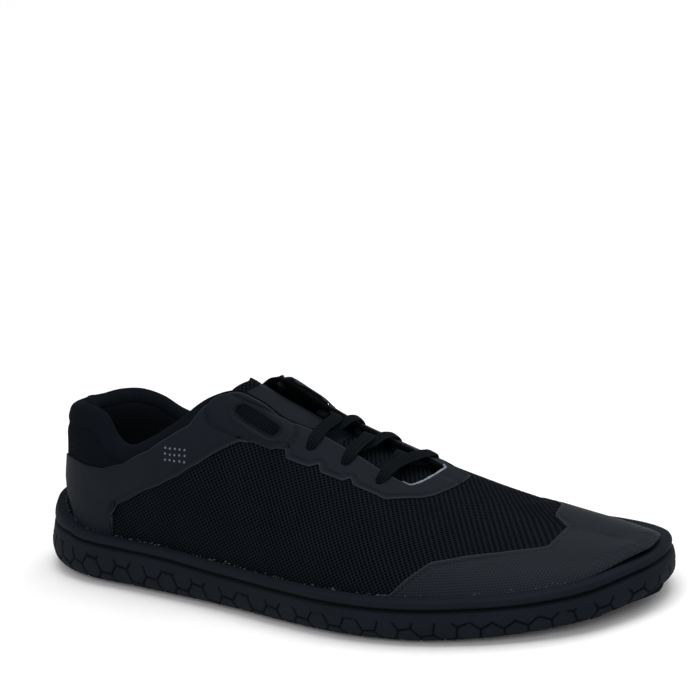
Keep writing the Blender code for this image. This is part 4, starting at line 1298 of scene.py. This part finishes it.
@dataclass
class Sole:
    """The rubber cup sole with its engraved cells, and the lugs under it."""

    RIM_HEIGHT = 0.020

    shoe: Shoe
    columns: int = 740
    wall_rows: int = 38
    tread_floor: float = 0.0024
    edge_inset: float = 0.0085
    groove_limit: float = 0.0202
    groove_depth: float = 0.0009
    bead_height: float = 0.0040
    bead_bulge: float = 0.0004
    heel_lean: float = 0.0042
    toe_lean: float = 0.0040
    toe_lean_start: float = 0.010
    cell_pitch: float = 0.00975
    cell_x: float = 0.0530
    cell_y: float = -0.03865
    line_depth: float = 0.0007
    line_half: float = 0.00080
    line_fade: float = 0.0014
    line_gap: float = 0.0040
    end_round: float = 0.0030
    lug_gap: float = 0.0012
    lug_edge: float = 0.0115
    lug_end: float = 0.0140

    def wall(self, around: Shares, height: Shares, inset: Shares) -> Points:
        """Points of the sole's wall at a height over the walking line."""
        last = self.shoe.last
        lean = self.heel_lean * last.heel_share(around) * (height / self.RIM_HEIGHT) ** 2
        above = np.maximum(0.0, height / self.toe_lean_start - 1)
        lean = lean + self.toe_lean * last.toe_share(around) * above ** 2
        spot = last.outline(around)
        floor = last.ground(spot[..., 0])
        spot = spot - last.outline_normal(around) * (inset + lean)[..., None]
        spot[..., 2] = height + floor
        return spot

    def cell_lines(self, spot: Points, height: Shares, limit: Shares) -> Shares:
        """Share of the engraved line's depth: six-sided cells of the tread, faded out under the groove.

        Args:
            spot: places on the tread's plane, the wall rolled out flat beyond its edge.
            height: height of each place on the wall.
            limit: height at which the lines have faded out.

        Returns:
            1 in the middle of a line and 0 inside the cells.
        """
        pitch = self.cell_pitch
        side = pitch / math.sqrt(3)
        x = spot[..., 0] - self.cell_x
        y = spot[..., 1] - self.cell_y - straight(CELL_BEND, "sideways", spot[..., 0])
        best = np.full(x.shape, np.inf)
        for lift, shift in ((0.0, 0.0), (1.5 * side, pitch / 2)):
            dx = np.mod(x - lift + 1.5 * side, 3 * side) - 1.5 * side
            dy = np.mod(y - shift + pitch / 2, pitch) - pitch / 2
            best = np.minimum(best, np.maximum(np.abs(dy), np.abs(dy) / 2 + np.abs(dx) * math.sqrt(3) / 2))
        away = pitch / 2 - best
        return (1 - ease(away / self.line_half)) * ease((limit - height) / self.line_fade)

    def rolled(self, around: Shares, reach: Shares) -> Points:
        """Places on the tread's plane, in the unmoved frame of the form."""
        last = self.shoe.last
        spot = last.outline(around) + last.outline_normal(around) * reach[..., None]
        return spot[..., :2] + np.array([last.sizes.origin_x, last.sizes.origin_y])

    def build(self) -> bpy.types.Object:
        """Lays the closed section round the shoe: tread, wall, groove, bead, rim, inner wall and footbed."""
        last = self.shoe.last
        turns = self.even_turns()
        around = np.concatenate([turns, 2.0 - turns[-2::-1]])
        rim = last.rim_height(around)
        groove = np.minimum(rim - self.bead_height, self.groove_limit)
        edge = self.edge_inset * np.minimum(1.0, 0.4 + 1.2 * np.sin(np.pi * last.split(around)[1]))
        shares = np.linspace(0.0, 1.0, self.wall_rows)
        profile = Curve(
            (0.0008, 0.0014, 0.0022, 0.0042, 0.0080, 0.0115, 0.0150, 0.0205),
            (0.0060, 0.0036, 0.0021, 0.0003, -0.0006, -0.0007, -0.0003, 0.0),
        )
        ends = last.heel_share(around) + last.toe_share(around)
        first = profile(0.0008) + self.end_round * ends * (1 - 0.0008 / 0.011) ** 2
        reach = -first
        before = (np.full_like(around, 0.0008), first)
        rows = []
        lines = []

        def add(height: Shares, inset: Shares, line: Shares) -> None:
            rows.append(self.wall(around, height, inset))
            lines.append(line)

        none = np.zeros_like(around)
        add(none + self.tread_floor, edge, none)
        add(none + 0.0010, edge - 0.0008, none)
        for share in shares:
            height = 0.0008 + (groove - 0.0014 - 0.0008) * share
            inset = profile(height) + self.end_round * ends * np.maximum(0.0, 1 - height / 0.011) ** 2
            reach = reach + np.hypot(height - before[0], inset - before[1])
            before = (height, inset)
            # The line share sets the engraving's depth and the painted shade in it.
            line = self.cell_lines(self.rolled(around, reach), height, groove - self.line_gap)
            add(height, inset + self.line_depth * line, line)
        # The third value of each row is painted shade in the wall groove.
        for lift, share in (
            (-0.0010, 0.15), (-0.0006, 0.6), (-0.0003, 0.9), (0.0, 1.0), (0.0004, 0.8), (0.0008, 0.3),
        ):
            add(groove + lift, none + self.groove_depth * share, none + share)
        for share in (0.10, 0.25, 0.42, 0.58, 0.72, 0.84):
            height = groove + 0.0010 + (rim - groove - 0.0010) * share
            add(height, none - self.bead_bulge * math.sin(math.pi * min(share / 0.84, 1.0)), none)
        for down, inset in ((0.0005, 0.00010), (0.00022, 0.00035), (0.00006, 0.00075), (0.0, 0.0013)):
            add(rim - down, none + inset, none)
        lip_height = rim + last.ground(last.outline(around)[..., 0])
        lip = last.rise_at_height(around, lip_height)
        clear = last.sizes.fit_gap + 0.0008 * last.toe_share(around)
        for share in (1.0, 0.5, 0.0):
            inner = last.off(around, lip * share, clear)
            if share == 1.0:
                inner[..., 2] = rows[-1][..., 2] - 0.0001
            if share == 0.0:
                inner[..., 2] -= last.sizes.fit_gap
            rows.append(inner)
            lines.append(none)
        bottom = (rows[0] + rows[0][::-1]) / 2
        bed = (rows[-1] + rows[-1][::-1]) / 2
        rows = [bottom, *rows, bed, bottom]
        lines = [none, *lines, none, none]
        points = np.stack(rows, axis=1)
        # The groove values lay painted shade in the engraved cell lines and the wall groove.
        shape = Sheet(points, values={"groove": np.stack(lines, axis=1)}).shape()
        bmesh.ops.recalc_face_normals(shape, faces=shape.faces)
        return self.shoe.piece("cup_sole", shape, (RUBBER,), "sole_rubber", ("outsole",), sharp=75.0)

    def even_turns(self) -> Shares:
        """Turns from heel to toe spaced evenly by distance along the outline."""
        fine = np.linspace(0.0, 1.0, 4001)
        both = [self.shoe.last.outline(fine), self.shoe.last.outline(2.0 - fine)]
        steps = sum(np.linalg.norm(np.diff(points, axis=0), axis=-1) for points in both) / 2
        run = np.concatenate([[0.0], np.cumsum(steps)])
        return np.interp(np.linspace(0.0, run[-1], self.columns + 1), run, fine)

    def build_lugs(self) -> bpy.types.Object:
        """Six-sided lugs under the sole, with worn edges."""
        last = self.shoe.last
        side = self.cell_pitch / math.sqrt(3)
        radius = (self.cell_pitch - self.lug_gap) / math.sqrt(3)
        corners_ahead = Matrix.Rotation(math.pi / 2, 4, "Z")
        shape = bmesh.new()
        for step in range(-8, 32):
            for row in range(-4, 14):
                length = self.cell_x + step * 1.5 * side
                across = self.cell_y + row * self.cell_pitch + (self.cell_pitch / 2 if step % 2 else 0.0)
                bend = float(straight(CELL_BEND, "sideways", np.array(length)))
                x = length - last.sizes.origin_x
                y = across + bend - last.sizes.origin_y
                if not self.inside(x, y):
                    continue
                level = float(last.ground(np.array(x)))
                top = level + self.tread_floor + 0.0006
                bmesh.ops.create_cone(
                    shape, cap_ends=True, segments=6, radius1=radius, radius2=radius, depth=top - level,
                    matrix=Matrix.Translation((x, y, (top + level) / 2)) @ corners_ahead,
                )
        low = [e for e in shape.edges if all(v.co.z < 0.0024 + 0.006 for v in e.verts)]
        bmesh.ops.bevel(
            shape, geom=low, affect="EDGES", offset=0.0004, segments=2, profile=0.5, material=-1,
        )
        return self.shoe.piece("tread_lugs", shape, (RUBBER,), "sole_rubber")

    def inside(self, x: float, y: float) -> bool:
        """Whether a lug's middle is far enough inside the outline."""
        last = self.shoe.last
        station = (x + last.sizes.origin_x) / last.sizes.length
        if not 0.0 < station < 1.0:
            return False
        turn = np.array(math.acos(1 - 2 * station) / math.pi)
        low = last.outline(turn)[1] + self.lug_edge
        high = last.outline(2.0 - turn)[1] - self.lug_edge
        end = min(station, 1 - station) * last.sizes.length
        return bool(low < y < high and end > self.lug_end)

    def build_specks(self) -> bpy.types.Object:
        """Small pale flecks of glue and lint along the rim's upper edge."""
        last = self.shoe.last
        random = np.random.default_rng(7)
        shape = bmesh.new()
        for _ in range(420):
            place = np.array([random.uniform(0.06, 1.94)])
            floor = last.ground(last.outline(place)[..., 0])
            height = last.rim_height(place) + floor + abs(random.normal(0.0, 0.0004))
            rise = last.rise_at_height(place, height)
            spot = last.off(place, rise, 0.0004)[0]
            size = random.uniform(0.00010, 0.00032)
            stretch = random.uniform(1.0, 3.0)
            turned = Matrix.Rotation(random.uniform(0.0, math.pi), 4, "Z")
            scaled = Matrix.Diagonal((size * stretch, size, size, 1.0))
            bmesh.ops.create_icosphere(
                shape, subdivisions=1, radius=1.0, matrix=Matrix.Translation(Vector(spot)) @ turned @ scaled,
            )
        return self.shoe.piece("rim_specks", shape, (LINT,), "sole_rubber")


@dataclass
class Inside:
    """The insole and the tongue."""

    shoe: Shoe
    tongue_crown: float = 0.975
    insole_thickness: float = 0.0030
    insole_clear: float = 0.0012
    tongue_thickness: float = 0.0026
    tongue_start: float = 0.362
    tongue_corner: float = 0.034
    tongue_front: float = 0.675
    strip_width: float = 0.014
    film_end: float = 0.494
    weld_depth: float = 0.0003

    def build_insole(self) -> bpy.types.Object:
        """The loose insole on the footbed."""
        last = self.shoe.last
        turns = np.linspace(0.02, 0.985, 140)
        edge = -last.sizes.wall - self.insole_clear
        corners = []
        for around in (turns, 2.0 - turns):
            low = last.off(around, 0.0, edge)
            low[..., 2] = last.sizes.footbed + last.ground(low[..., 0]) + last.sizes.fit_gap / 2
            level = low[..., 2] + self.insole_thickness
            high = last.off(around, last.rise_at_height(around, level), edge)
            high[..., 2] = level
            soft = high.copy()
            soft[..., 2] -= 0.0006
            corners.append((low, soft, high))
        (a, b, c), (d, e, f) = corners
        inner = [c + (f - c) * share for share in (0.04, 0.2, 0.4, 0.6, 0.8, 0.96)]
        sheet = Sheet(np.stack([a, b, *inner, e, d, a], axis=1))
        shape = sheet.shape()
        close_ends(shape)
        bmesh.ops.recalc_face_normals(shape, faces=shape.faces)
        return self.shoe.piece("insole_sheet", shape, (INSOLE,), "lining_foam", ("insole",))

    def build_tongue(self) -> bpy.types.Object:
        """The tongue: film from its top down, mesh below, a mesh strip along its upper edge."""
        last = self.shoe.last
        steps = np.linspace(0.0, 1.0, 110)
        half = np.sin(np.linspace(0.0, math.pi / 2, 26)) * self.tongue_crown
        sides = [(Side.LATERAL, share) for share in half] + [(Side.MEDIAL, share) for share in half[::-1]]
        rows = []
        films = []
        for side, share in sides:
            start = self.tongue_start + self.tongue_corner * (1 - share) ** 2
            turn = start + (self.tongue_front - start) * steps
            low = straight(TONGUE, "edge", turn)
            rise = low + (1.0 - low) * share
            around = turn if side is Side.LATERAL else 2.0 - turn
            from_top = (turn - start) / self.strip_width
            top_weld = np.exp(-((from_top - 1.0) * 5) ** 2)
            front_weld = np.exp(-((turn - self.film_end) * 350) ** 2)
            weld = self.weld_depth * top_weld + self.weld_depth * front_weld
            rows.append(last.off(around, rise, -weld, straight(TONGUE, "drop", turn)))
            least = 0.2 if side is Side.LATERAL else 0.3
            films.append((turn > start + self.strip_width) & (turn < self.film_end) & (share > least))
        points = np.stack(rows, axis=1)
        slots = np.where(np.stack(films, axis=1), 1, 0)
        shape = Sheet(
            points, values={"edge": np.zeros(slots.shape)},
            flats={"length": length_flat(last, points), "girth": girth_flat(points)}, slots=slots,
        ).shape()
        face_away(shape, Vector((0.0, 0.0, last.sizes.footbed)))
        made = self.shoe.piece("tongue_cloth", shape, (MESH, FILM), "mesh_fabric", ("tongue",))
        return self.shoe.thicken(made, self.tongue_thickness)


@dataclass(frozen=True)
class Stop:
    """A place that a lace passes: round the shoe, rise, height over the form, width there as a share."""

    around: float
    rise: float
    out: float
    width: float = 1.0


@dataclass
class Laces:
    """Flat ribbed laces through the eyelets."""

    shoe: Shoe
    width: float = 0.0053
    thickness: float = 0.0012
    ribs: int = 5
    rib_depth: float = 0.00028
    fold: float = 5.6
    steps: int = 90
    over: float = 0.0015
    in_slot: float = 0.0008
    under_flap: float = -0.0036
    hole_width: float = 0.74

    def strap(self, stops: Sequence[Stop]) -> bmesh.types.BMesh:
        """A flat lace through its stops, with lengthwise ribs."""
        last = self.shoe.last
        around = np.array([stop.around for stop in stops])
        rise = np.array([stop.rise for stop in stops])
        spots = last.off(around, rise, np.array([stop.out for stop in stops]))
        outs = last.normal(around, rise)
        travel = unit(spots[-1] - spots[0])
        across = unit(np.cross(travel, outs))
        runs = np.concatenate([[0.0], np.cumsum(np.linalg.norm(np.diff(spots, axis=0), axis=-1))])
        even = np.linspace(0.0, runs[-1], self.steps)
        path = np.stack([Curve(runs, spots[:, axis])(even) for axis in range(3)], -1)
        wide = unit(np.stack([np.interp(even, runs, across[:, axis]) for axis in range(3)], -1))
        along = unit(np.gradient(path, axis=0))
        wide = unit(wide - along * (wide * along).sum(-1, keepdims=True))
        up = np.cross(wide, along)
        share = Curve(runs, [stop.width for stop in stops])(even)
        folded = 1 + (1 - share) * self.fold
        section = self.section()
        rows = []
        for side, high, _ in section:
            rows.append(path + wide * (side * share)[:, None] + up * (high * folded)[:, None])
        points = np.stack(rows, axis=1)
        # The rib groove share lays painted shade in the grooves.
        lines = np.broadcast_to(np.array([line for _, _, line in section]), points.shape[:2])
        flat = np.stack(
            [
                np.broadcast_to(np.array([side for side, _, _ in section]) + 0.01, points.shape[:2]),
                np.broadcast_to(even[:, None], points.shape[:2]),
            ],
            -1,
        )
        shape = Sheet(points, values={"groove": lines}, flats={"run": flat}).shape()
        close_ends(shape)
        bmesh.ops.recalc_face_normals(shape, faces=shape.faces)
        return shape

    def section(self) -> list[tuple[float, float, float]]:
        """Cross section: side, height and share of a rib's groove, first point repeated at the end."""
        half = self.width / 2
        places = np.linspace(-1.0, 1.0, self.ribs * 6 + 1)[1:-1]
        shell = self.thickness / 2 * (1 - np.abs(places) ** 6) ** 0.5
        line = np.cos(places * math.pi * self.ribs / 2 + (0.0 if self.ribs % 2 == 0 else math.pi / 2)) ** 6
        upper = [(half * p, s - r * self.rib_depth, r) for p, s, r in zip(places, shell, line)]
        lower = [(side, -high, share) for side, high, share in reversed(upper[::2])]
        ring = [(-half, 0.0, 0.0), *upper, (half, 0.0, 0.0), *lower]
        return [*ring, ring[0]]

    def toward(self, side: Side, turn: float) -> float:
        """Place round the shoe for a turn on a side."""
        return turn if side is Side.LATERAL else 2.0 - turn

    def eye(self, name: str, side: Side) -> tuple[float, float]:
        """Turn and rise of an eyelet on a side."""
        around, rise = self.shoe.last.eyelet(name, side)
        return (around if side is Side.LATERAL else 2.0 - around), rise

    def crossing(self, side: Side, start: str, end: str, sag: float) -> list[Stop]:
        """Stops of one strand: out of its eyelet, over the throat, under the far flap to the next eyelet."""
        a_turn, a_rise = self.eye(start, side)
        b_turn, b_rise = self.eye(end, self.other(side))
        far = self.other(side)
        step = b_turn - a_turn
        near = self.toward(side, a_turn + step * 0.12)
        stops = [Stop(self.toward(side, a_turn), a_rise, self.under_flap, self.hole_width)]
        if start == "front":
            stops.append(Stop(self.toward(side, a_turn + step * 0.05), 0.86, -0.0032, 0.9))
            stops.append(Stop(near, 0.935, -0.0026))
        else:
            stops.append(Stop(self.toward(side, a_turn), a_rise + 0.001, -0.0002, self.hole_width))
            stops.append(Stop(self.toward(side, a_turn + step * 0.04), a_rise + 0.040, self.over, 0.95))
            stops.append(Stop(near, a_rise + 0.12, self.over - 0.0002))
        stops.append(Stop(self.toward(side, a_turn + step * 0.24), 1.0, -sag))
        stops.append(Stop(self.toward(far, a_turn + step * 0.36), 0.925, -sag - 0.0012))
        stops.append(Stop(self.toward(far, a_turn + step * 0.50), 0.840, -0.0036, 0.9))
        stops.append(Stop(self.toward(far, b_turn), b_rise, self.under_flap, self.hole_width))
        return stops

    @staticmethod
    def other(side: Side) -> Side:
        """The side across the throat."""
        return Side.MEDIAL if side is Side.LATERAL else Side.LATERAL

    def build_bar(self) -> bpy.types.Object:
        """The straight bar over the two front eyelets."""
        ends = []
        for side in Side:
            turn, rise = self.eye("front", side)
            place = self.toward(side, turn)
            ends.append(
                [
                    Stop(place, rise, self.under_flap, self.hole_width),
                    Stop(place, rise + 0.008, -0.0002, self.hole_width),
                    Stop(place, rise + 0.045, self.over, 0.95),
                    Stop(place, rise + 0.12, self.over),
                ]
            )
        middle = (self.eye("front", Side.LATERAL)[0] + self.eye("front", Side.MEDIAL)[0]) / 2
        stops = [*ends[0], Stop(middle, 1.0, self.over - 0.0004), *reversed(ends[1])]
        return self.shoe.piece("bar_lace", self.strap(stops), (LACE,), "flat_lace", ("lace_bar",))

    def build_crossings(self) -> list[bpy.types.Object]:
        """Three crossings, the outer side's strand on top."""
        made = []
        pairs = (("front", "second"), ("second", "third"), ("third", "fourth"))
        for number, (start, end) in enumerate(pairs, 1):
            for side, sag in ((Side.LATERAL, -0.0002), (Side.MEDIAL, 0.0018)):
                shape = self.strap(self.crossing(side, start, end, sag))
                name = f"strand_{number}_{side.name.lower()}"
                made.append(self.shoe.piece(name, shape, (LACE,), "flat_lace", (f"lace_crossing_{number}",)))
        return made

    def build_sides(self) -> list[bpy.types.Object]:
        """The lengths that lie in the slots between the two top eyelets."""
        made = []
        for side in Side:
            a_turn, a_rise = self.eye("fourth", side)
            b_turn, b_rise = self.eye("top", side)
            stops = []
            for share, out, width in (
                (-0.11, self.under_flap, self.hole_width), (0.0, -0.0002, self.hole_width),
                (0.20, self.in_slot, 0.85), (0.5, self.in_slot, 0.9), (0.80, self.in_slot, 0.85),
                (1.0, -0.0002, self.hole_width), (1.11, self.under_flap, self.hole_width),
            ):
                turn = a_turn + (b_turn - a_turn) * share
                stops.append(Stop(self.toward(side, turn), a_rise + (b_rise - a_rise) * share, out, width))
            name = f"side_lace_{side.name.lower()}"
            node = f"lace_side_{side.name.lower()}"
            made.append(self.shoe.piece(name, self.strap(stops), (LACE,), "flat_lace", (node,)))
        return made


@dataclass(frozen=True)
class View:
    """The photograph's camera.

    Attributes:
        azimuth, elevation: direction from the shoe to the camera, in degrees.
        roll: turn of the picture, in degrees.
        distance: from the point looked at.
        target: that point.
        lens: focal length for the sensor width.
        aim_up, aim_right: small turn of the aim off the target, as shares of the distance.
    """

    azimuth: float = 35.5
    elevation: float = 20.35
    roll: float = 7.3
    distance: float = 2.756
    target: tuple[float, float, float] = (0.00227, 0.00249, 0.035)
    sensor: float = 36.0
    lens: float = 347.27
    aim_up: float = 0.02254
    aim_right: float = 0.00053

    def place(self) -> bpy.types.Object:
        """Makes the camera and sets it on the scene."""
        a = math.radians(self.azimuth)
        e = math.radians(self.elevation)
        r = math.radians(self.roll)
        back = Vector((math.sin(a) * math.cos(e), -math.cos(a) * math.cos(e), math.sin(e)))
        right = Vector((math.cos(a), math.sin(a), 0.0))
        up = back.cross(right)
        rolled_right = right * math.cos(r) - up * math.sin(r)
        rolled_up = right * math.sin(r) + up * math.cos(r)
        aim = (-back + rolled_up * self.aim_up + rolled_right * self.aim_right).normalized()
        x = aim.cross(rolled_up).normalized()
        y = x.cross(aim)
        data = bpy.data.cameras.new("photo_camera")
        data.sensor_width = self.sensor
        data.lens = self.lens
        data.clip_start = 0.1
        data.clip_end = 50.0
        camera = bpy.data.objects.new("photo_camera", data)
        bpy.context.scene.collection.objects.link(camera)
        turned = Matrix((x, y, -aim)).transposed().to_4x4()
        camera.matrix_world = Matrix.Translation(Vector(self.target) + back * self.distance) @ turned
        bpy.context.scene.camera = camera
        return camera


@dataclass(frozen=True)
class Lamp:
    """A soft square light aimed at the shoe."""

    name: str
    spot: tuple[float, float, float]
    size: float
    power: float

    def place(self) -> None:
        """Makes the light."""
        data = bpy.data.lights.new(self.name, "AREA")
        data.shape = "SQUARE"
        data.size = self.size
        data.energy = self.power
        made = bpy.data.objects.new(self.name, data)
        bpy.context.scene.collection.objects.link(made)
        made.location = self.spot
        made.rotation_euler = (-Vector(self.spot)).to_track_quat("-Z", "Y").to_euler()


LAMPS = (
    Lamp("light_above", (0.2, 0.1, 1.8), 1.4, 22.0),
    Lamp("light_front", (0.9, -1.6, 1.1), 1.2, 12.0),
    Lamp("light_heel", (-1.5, -0.9, 0.9), 1.0, 3.5),
    Lamp("light_behind", (0.6, 1.6, 1.2), 1.2, 9.0),
)


def build_studio(palette: Palette) -> None:
    """Pale floor, even surroundings, soft lights and the camera."""
    shape = bmesh.new()
    bmesh.ops.create_grid(shape, x_segments=1, y_segments=1, size=8.0)
    mesh = bpy.data.meshes.new("studio_floor")
    shape.to_mesh(mesh)
    shape.free()
    floor = bpy.data.objects.new("studio_floor", mesh)
    mesh.materials.append(palette.get(FLOOR))
    bpy.context.scene.collection.objects.link(floor)
    world = bpy.data.worlds.new("studio_world")
    world.use_nodes = True
    world.node_tree.nodes["Background"].inputs["Color"].default_value = (1.0, 1.0, 1.0, 1.0)
    world.node_tree.nodes["Background"].inputs["Strength"].default_value = 0.5
    bpy.context.scene.world = world
    bpy.context.scene.view_settings.view_transform = "Standard"
    for lamp in LAMPS:
        lamp.place()
    View().place()


def main() -> None:
    """Builds the shoe's looks and the studio."""
    logging.basicConfig(level=logging.INFO, format="%(name)s %(message)s")
    shoes = bpy.data.collections.new("looks")
    bpy.context.scene.collection.children.link(shoes)
    shoe = Shoe(Last(LastSizes()), Palette(), shoes)
    sole = Sole(shoe)
    sole.build()
    sole.build_lugs()
    sole.build_specks()
    cloth = Upper(shoe).build()
    films = Films(shoe)
    saddle = films.build_saddle()
    films.build_cap()
    films.build_hem()
    films.build_dots()
    punch(shoe, (cloth, saddle))
    inside = Inside(shoe)
    inside.build_insole()
    inside.build_tongue()
    laces = Laces(shoe)
    laces.build_bar()
    laces.build_crossings()
    laces.build_sides()
    build_studio(shoe.palette)


if __name__ == "__main__":
    main()
